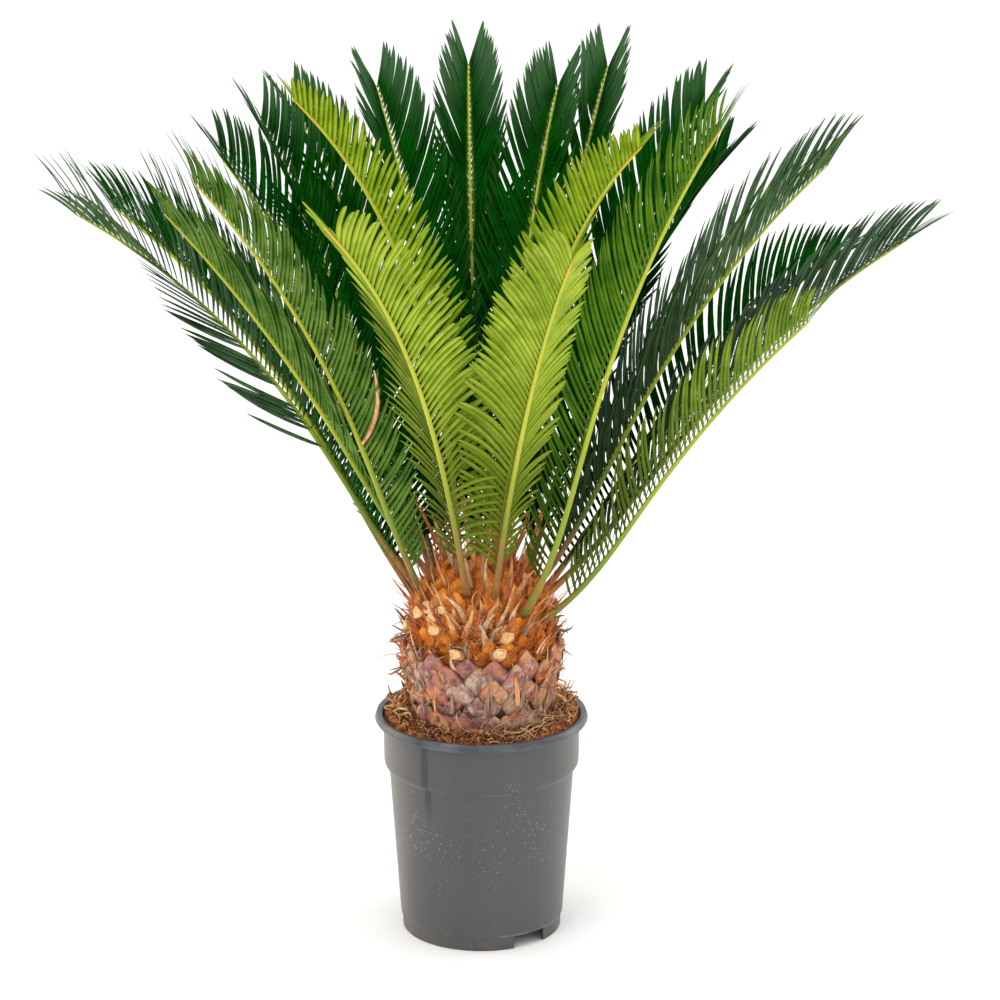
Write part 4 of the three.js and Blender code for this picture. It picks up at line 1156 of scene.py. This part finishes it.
def growLeaflet(crown, f, v, hand, jitter, sway, bow, twist):
    row, first = table[f], hand > 0
    thin = v < own("thin", f, 0) and math.sin(58 * v) < -0.45
    if v > own("leafEnd", f, 1) or first and (thin or v < own("bald", f, 0)):
        return None
    u = fronds["bare"] + (1 - fronds["bare"]) * v
    here = ribAt(ribs[f], u)
    side, leafy = here["side"] * hand, here["leafy"]
    root = here["point"] + side * ribWidth(u) * 0.36 + leafy * ribThick(u) * 0.18
    rolled = row.roll * min(1, max(0, (own("rollEnd", f, 9) - v) / 0.3))
    flatter = own("open", f, 0) * min(1, max(0, (own("openEnd", f, 0.5) - v) / 0.5))
    fanned = own("fan", f, 0) * max(0, (v - 0.6) / 0.4)
    close = own("closeFirst", f, row.close) if first else row.close * (1 + fanned)
    long = leafletLength(v) * own("leaf", f, 1) * (own("first", f, 1) if first else 1 + 0.4 * fanned)
    # leaflets hang together in loose bunches
    bunch = math.sin(23 * v + 1.7 * f + hand) + 0.6 * math.sin(61 * v + 2.9 * f - 2 * hand)
    angle = (leafletAngle(v) * close + 4 * sway + 1.6 * bunch) * rad
    look = leafLooks[row.kind]
    sag = look.sag * (1 + 0.5 * twist) * (1.1 - 0.8 * v)
    curve = (look.bow + 0.03 * bow) * hand
    for share, turn in product(fronds["shares"], fronds["turns"]):
        lift = (row.lift - flatter + hand * rolled + 7 * jitter + 2.5 * bunch + turn) * rad
        wing = side * math.cos(lift) + leafy * math.sin(lift)
        along = here["tangent"] * math.cos(angle) + wing * math.sin(angle)
        up = leafy * math.cos(lift) - side * math.sin(lift)
        size = long * share * (1 + 0.06 * jitter)
        line = root + along * size * sample + np.cross(up, along) * curve * size * 4 * sample * (1 - sample)
        line[:, 2] -= size * sag * sample[:, 0] ** 2
        if insideTrunk(line[3], 3) or insideTrunk(line[2], 0) or not clearOfRibs(line, 1.0, f):
            continue
        if crown.takes(line, size * 0.55, f):
            return Leaflet(f, v, root, along, up, size, curve, 0.05 * bow - 0.02, 0.34 * twist, hand, sag)
    return None


def placeLeaflets():
    # from the tips down, a frond at a time; one that would touch another limb is turned or
    # shortened a little, and failing that it is left out
    rng = random.Random(41)
    counts = [round(row.long * (1 - fronds["bare"]) / leafLooks[row.kind].pitch) for row in table]
    crown = Crown(2 * sum(counts))
    placed = []
    for down in range(max(counts)):
        for f, count in enumerate(counts):
            if down >= count:
                continue
            for hand in (1, -1):
                loose = [rng.random() - 0.5 for _ in range(4)]
                leaf = growLeaflet(crown, f, (count - down - 0.5) / count, hand, *loose)
                if leaf:
                    placed.append(leaf)
    print("leaflets:", len(placed), "of", 2 * sum(counts))
    return placed


leafStations = np.array([0, 0.05, 0.14, 0.3, 0.48, 0.64, 0.78, 0.9, 0.97, 1.0])
leafSection = np.array([(1, -0.35), (0.55, 0.5), (0, 0.22), (-0.55, 0.5), (-1, -0.35), (0, -0.75)])
leafPointed = np.array([0.42, 0.62, 0.88, 1.0, 1.0, 0.94, 0.78, 0.48, 0.22, 0.05])
leafBlunt = np.array([0.40, 0.60, 0.85, 1.0, 1.0, 1.0, 0.95, 0.80, 0.50, 0.12])

# a kind of leaflet: the shades of its upper and under side (dark, light), half its width, the
# spacing, how far it twists to the rib, how slender the low ones and how fine the high ones
# are, how it droops and bows, whether it is young, the heights between which the low ones get
# painted shade, how strongly a painted sheen pales the high ends, and how much the two sides shine
LeafLook = namedtuple(
    "LeafLook", "upper under half pitch turned slender fine sag bow young ages pale shines",
    defaults=(2.8, 6.2, 0.46, 0.84, 0.08, 0.12, 0.04, False, (0.39, 0.60), 0.0, (0.12, 0.05)),
)
leafLooks = {
    "deep": LeafLook(
        ((0.0, 0.024, 0.0), (0.001, 0.056, 0.001)), ((0.001, 0.045, 0.001), (0.010, 0.092, 0.005)),
        2.9, pale=0.9, shines=(0.01, 0.01),
    ),
    "dark": LeafLook(
        ((0.012, 0.046, 0.012), (0.052, 0.116, 0.044)), ((0.030, 0.088, 0.022), (0.110, 0.190, 0.070)),
        2.4, turned=0.15, fine=0.34, ages=(0.50, 0.67),
    ),
    "olive": LeafLook(
        ((0.010, 0.052, 0.006), (0.036, 0.108, 0.018)), ((0.034, 0.104, 0.010), (0.120, 0.215, 0.034)),
        turned=0.2, fine=0.25,
    ),
    "leafy": LeafLook(
        ((0.010, 0.056, 0.004), (0.036, 0.110, 0.014)), ((0.034, 0.106, 0.010), (0.120, 0.215, 0.030)),
        pitch=6.4, turned=0.3,
    ),
    "green": LeafLook(
        ((0.026, 0.088, 0.006), (0.075, 0.165, 0.018)), ((0.120, 0.215, 0.014), (0.235, 0.350, 0.034)),
        2.3, 7.2, fine=0.2,
    ),
    "fresh": LeafLook(
        ((0.014, 0.070, 0.004), (0.046, 0.134, 0.008)), ((0.046, 0.138, 0.004), (0.120, 0.255, 0.012)),
        2.2, 7.4, fine=0.2, young=True,
    ),
    "shaded": LeafLook(
        ((0.022, 0.060, 0.004), (0.060, 0.115, 0.010)), ((0.085, 0.145, 0.010), (0.210, 0.270, 0.026)),
        2.2, young=True,
    ),
    "lime": LeafLook(
        ((0.060, 0.155, 0.005), (0.140, 0.270, 0.012)), ((0.175, 0.300, 0.007), (0.340, 0.460, 0.022)),
        pitch=7.0, slender=0.62, bow=0.0, young=True,
    ),
    "bright": LeafLook(
        ((0.075, 0.175, 0.010), (0.165, 0.300, 0.022)), ((0.215, 0.335, 0.018), (0.395, 0.505, 0.046)),
        3.2, 7.8, slender=0.62, sag=0.17, bow=-0.03, young=True,
    ),
}


def tone(colour, share):
    return tuple(share * c for c in colour)


def leafFinish(name, shades, gloss, shine, look):
    dark, light = shades
    leaf = Finish(name, gloss, shine)
    step = leaf.step
    along, over, height = leaf.axis(leaf.uv, "Y"), leaf.axis(leaf.uv, "X"), leaf.axis(leaf.object, "Z")
    patches = leaf.grain(42, 3, 0.6)
    leaf.prime(step(patches, 0.32, 0.68), dark, light)
    # lighter, greyer ends: partly the leaflets' own paler tips, partly a painted sheen
    tip = tuple(0.6 * c + k for c, k in zip(light, (0.050, 0.060, 0.024)))
    leaf.paint(step(along, 0.72, 1.0) * 0.30, tip)
    leaf.paint((1 - step(along, 0.0, 0.10)) * 0.5, (0.28, 0.36, 0.06))
    # darker margins and a lighter middle: painted shade between neighbouring leaflets and a painted highlight
    # along each
    rib = abs(over - 0.5)
    leaf.paint(step(rib, 0.24, 0.50) * 0.55, tone(dark, 0.45))
    leaf.paint((1 - step(rib, 0.03, 0.10)) * 0.30, tone(light, 1.7))
    # high in the crown the leaflets turn lighter and greyer towards their ends: a painted sheen
    if look.pale:
        leaf.paint(step(along, 0.05, 0.60) * step(height, 0.66, 0.76) * look.pale, (0.050, 0.118, 0.046))
    # low in the crown, except on the far left, the leaflets are darkened: painted shade
    inner = step(leaf.axis(leaf.object, "X"), -0.075, -0.025)
    leaf.paint((1 - step(height, *look.ages)) * inner * 0.84, tone(dark, 0.42))
    veins = leaf.grain(26, 2, 0.5, (9, 0.5, 1), source=leaf.uv)
    return leaf.close(veins, 0.00012, gloss + step(patches, 0.3, 0.8) * 0.12)


def frondNodes(owners):
    return [f"frond_{f + 1:02d}" for f in sorted(set(owners))]


def makeLeaflets(placed):
    pattern = tubePattern(leafStations, leafSection)
    # the sides at the section's last point are the underside
    corners = np.split(pattern.loops, pattern.starts[1:])
    pattern.finish = np.array([int(len(c) == 4 and 5 in pattern.side[c]) for c in corners])
    shadedFrond, shadedEnd = fronds["shaded"]
    groups = {}
    for leaf in placed:
        kind = table[leaf.owner].kind
        if leaf.owner == shadedFrond and leaf.hand < 0 and leaf.v < shadedEnd:
            kind = "shaded"
        name = kind + "Leaflets"
        if kind == "deep":
            name += "Right" if leaf.owner in fronds["right"] else "Left"
        groups.setdefault((name, kind), []).append(leaf)
    finishes = {
        kind: [
            leafFinish(kind + "LeafUpper", look.upper, 0.30, look.shines[0], look),
            leafFinish(kind + "LeafUnder", look.under, 0.50, look.shines[1], look),
        ]
        for kind, look in leafLooks.items()
    }
    for (name, kind), leaves in groups.items():
        look, every = leafLooks[kind], Leaflet(*zip(*leaves))
        taper = leafBlunt if kind == "bright" else leafPointed
        low = [look.slender + (1 - look.slender) * min(1, v / 0.45) for v in every.v]
        wides = [look.half * k * (1 - look.fine * max(0, v - 0.55) / 0.45) for k, v in zip(low, every.v)]
        twists = [twist - hand * look.turned for twist, hand in zip(every.twist, every.hand)]
        points = layBlades(
            pattern, taper, every.root, every.along, every.up, every.size, wides, 0.55,
            every.side, every.bow, twists, every.sag,
        )
        layPiece(name, pattern, points, finishes[kind], frondNodes(every.owner))
        print(name, len(leaves))


dried = {
    "frond": 2, "at": 0.365, "aside": 5, "long": 80, "wide": 2.6, "thick": 0.6, "curl": 0.11, "bow": 0.04,
    "stations": 14, "dark": (0.46, 0.17, 0.075), "light": (0.86, 0.46, 0.26),
}


def makeDryLeaflet(placed):
    # one leaflet has died, and hangs curled in front of its frond
    here = ribAt(ribs[dried["frond"]], dried["at"])
    start = here["point"] + here["side"] * dried["aside"]
    roots = np.array([leaf.root for leaf in placed])
    ends = roots + np.array([leaf.along * leaf.size for leaf in placed])
    for forward in range(20, 60, 4):
        along = unit(np.array([11.0, -forward, 76.0]))
        near, end = start + along * 12, start + along * dried["long"]
        gaps = segmentGap(near[None], end[None], roots, ends)
        if gaps.min() > 3 and clearOfRibs(np.array([near, end]), 2.5):
            break
    stations = np.linspace(0, 1, dried["stations"])
    pattern = tubePattern(stations, bladeSection)
    taper = 0.35 + 0.65 * np.sin(np.pi * np.minimum(1, stations * 0.9 + 0.1)) ** 0.7
    points = layBlades(
        pattern, taper, [start], [along], [unit(np.array([0.2, 1.0, 0.1]))], [dried["long"]],
        [dried["wide"]], dried["thick"], [dried["curl"]], [dried["bow"]],
    )
    finish = plainFinish("driedLeaflet", dried["dark"], dried["light"], 120, 0.7, 0.0003, (1, 1, 0.3))
    layPiece("driedLeaflet", pattern, points, [finish], frondNodes([dried["frond"]]))
    print("dried leaflet leans", forward)


ribLooks = {
    # kind: foot, lower part, middle, tip, how far up the foot is brown, how plump it is
    "bright": ((0.22, 0.145, 0.038), (0.24, 0.27, 0.026), (0.50, 0.52, 0.04), (0.76, 0.40, 0.03), 0.08, 0.08),
    "dark": ((0.17, 0.090, 0.032), (0.10, 0.17, 0.020), (0.30, 0.38, 0.028), (0.40, 0.42, 0.04), 0.05, 0.08),
    "deep": ((0.17, 0.085, 0.030), (0.10, 0.17, 0.014), (0.36, 0.44, 0.030), (0.42, 0.46, 0.04), 0.05, 0.08),
    "fresh": ((0.14, 0.205, 0.032), (0.21, 0.30, 0.026), (0.45, 0.51, 0.030), (0.62, 0.43, 0.03), 0.02, 0.3),
    "green": ((0.13, 0.185, 0.032), (0.16, 0.25, 0.026), (0.34, 0.42, 0.034), (0.48, 0.43, 0.04), 0.02, 0.3),
    "leafy": ((0.13, 0.115, 0.030), (0.17, 0.25, 0.024), (0.42, 0.47, 0.030), (0.55, 0.45, 0.04), 0.05, 0.08),
    "lime": ((0.17, 0.130, 0.030), (0.22, 0.27, 0.024), (0.52, 0.53, 0.036), (0.78, 0.42, 0.03), 0.05, 0.08),
    "olive": ((0.13, 0.095, 0.028), (0.16, 0.24, 0.022), (0.38, 0.44, 0.030), (0.48, 0.43, 0.04), 0.05, 0.08),
}


def ribFinish(name, foot, lower, middle, end, browned):
    rib = Finish(name, 0.5, 0.25)
    along = rib.axis(rib.uv, "Y")
    mottle = rib.grain(90, 4, 0.6)
    rib.colour = rib.ramp(along + mottle * 0.05 - 0.025, (
        (0.0, foot), (browned, foot), (browned + 0.10, lower), (0.45, middle), (0.9, middle), (1.0, end),
    ))
    rib.paint(rib.step(mottle, 0.55, 0.75) * 0.3, tone(lower, 0.7))
    scurf = rib.step(rib.grain(240, 5, 0.7, (1, 1, 0.4)) + mottle * 0.3, 0.56, 0.72)
    rib.paint(scurf * (1 - rib.step(along, 0.05, 0.20)) * 0.75, (0.42, 0.17, 0.045))
    return rib.close(rib.grain(500, 3, 0.6, (1, 1, 0.2)) + mottle * 0.4, 0.0002)


def makeRibs():
    stations = np.concatenate(([0, 0.012, 0.03, 0.055], np.linspace(0.08, 1, 52)))
    section = roundSection(12)
    section = section / np.maximum(np.abs(section[:, :1]), np.abs(section[:, 1:])) ** 0.45
    section[3, 1] *= 0.62      # the groove on the leafy side
    pattern = tubePattern(stations, section)
    shrink = np.minimum(1, (1.012 - stations) / 0.06) ** 0.5
    for kind, (*shades, browned, plump) in ribLooks.items():
        members = [f for f, row in enumerate(table) if row.kind == kind]
        found = [ribAt(ribs[f], stations) for f in members]
        centre, side, leafy = (np.array([at[key] for at in found]) for key in ("point", "side", "leafy"))
        # the foot goes a little into the wool
        centre[:, 0] -= np.array([at["tangent"][0] for at in found]) * 1.5
        plumped = 1.0 + plump * np.exp(-stations / 0.07)
        wide, thick = (
            np.tile(size(stations) / 2 * plumped * shrink, (len(members), 1)) for size in (ribWidth, ribThick)
        )
        points = sweep(pattern, centre, side, leafy, wide, thick)
        finish = ribFinish(kind + "Rib", *shades, browned)
        layPiece(kind + "Ribs", pattern, points, [finish], frondNodes(members))


makeTrunkCore()
makeScales()
makeWool()
makeStubs()
makeDryLeaves()
print("trunk ready")
makeRibs()
leaflets = placeLeaflets()
makeLeaflets(leaflets)
makeDryLeaflet(leaflets)
print("fronds ready")
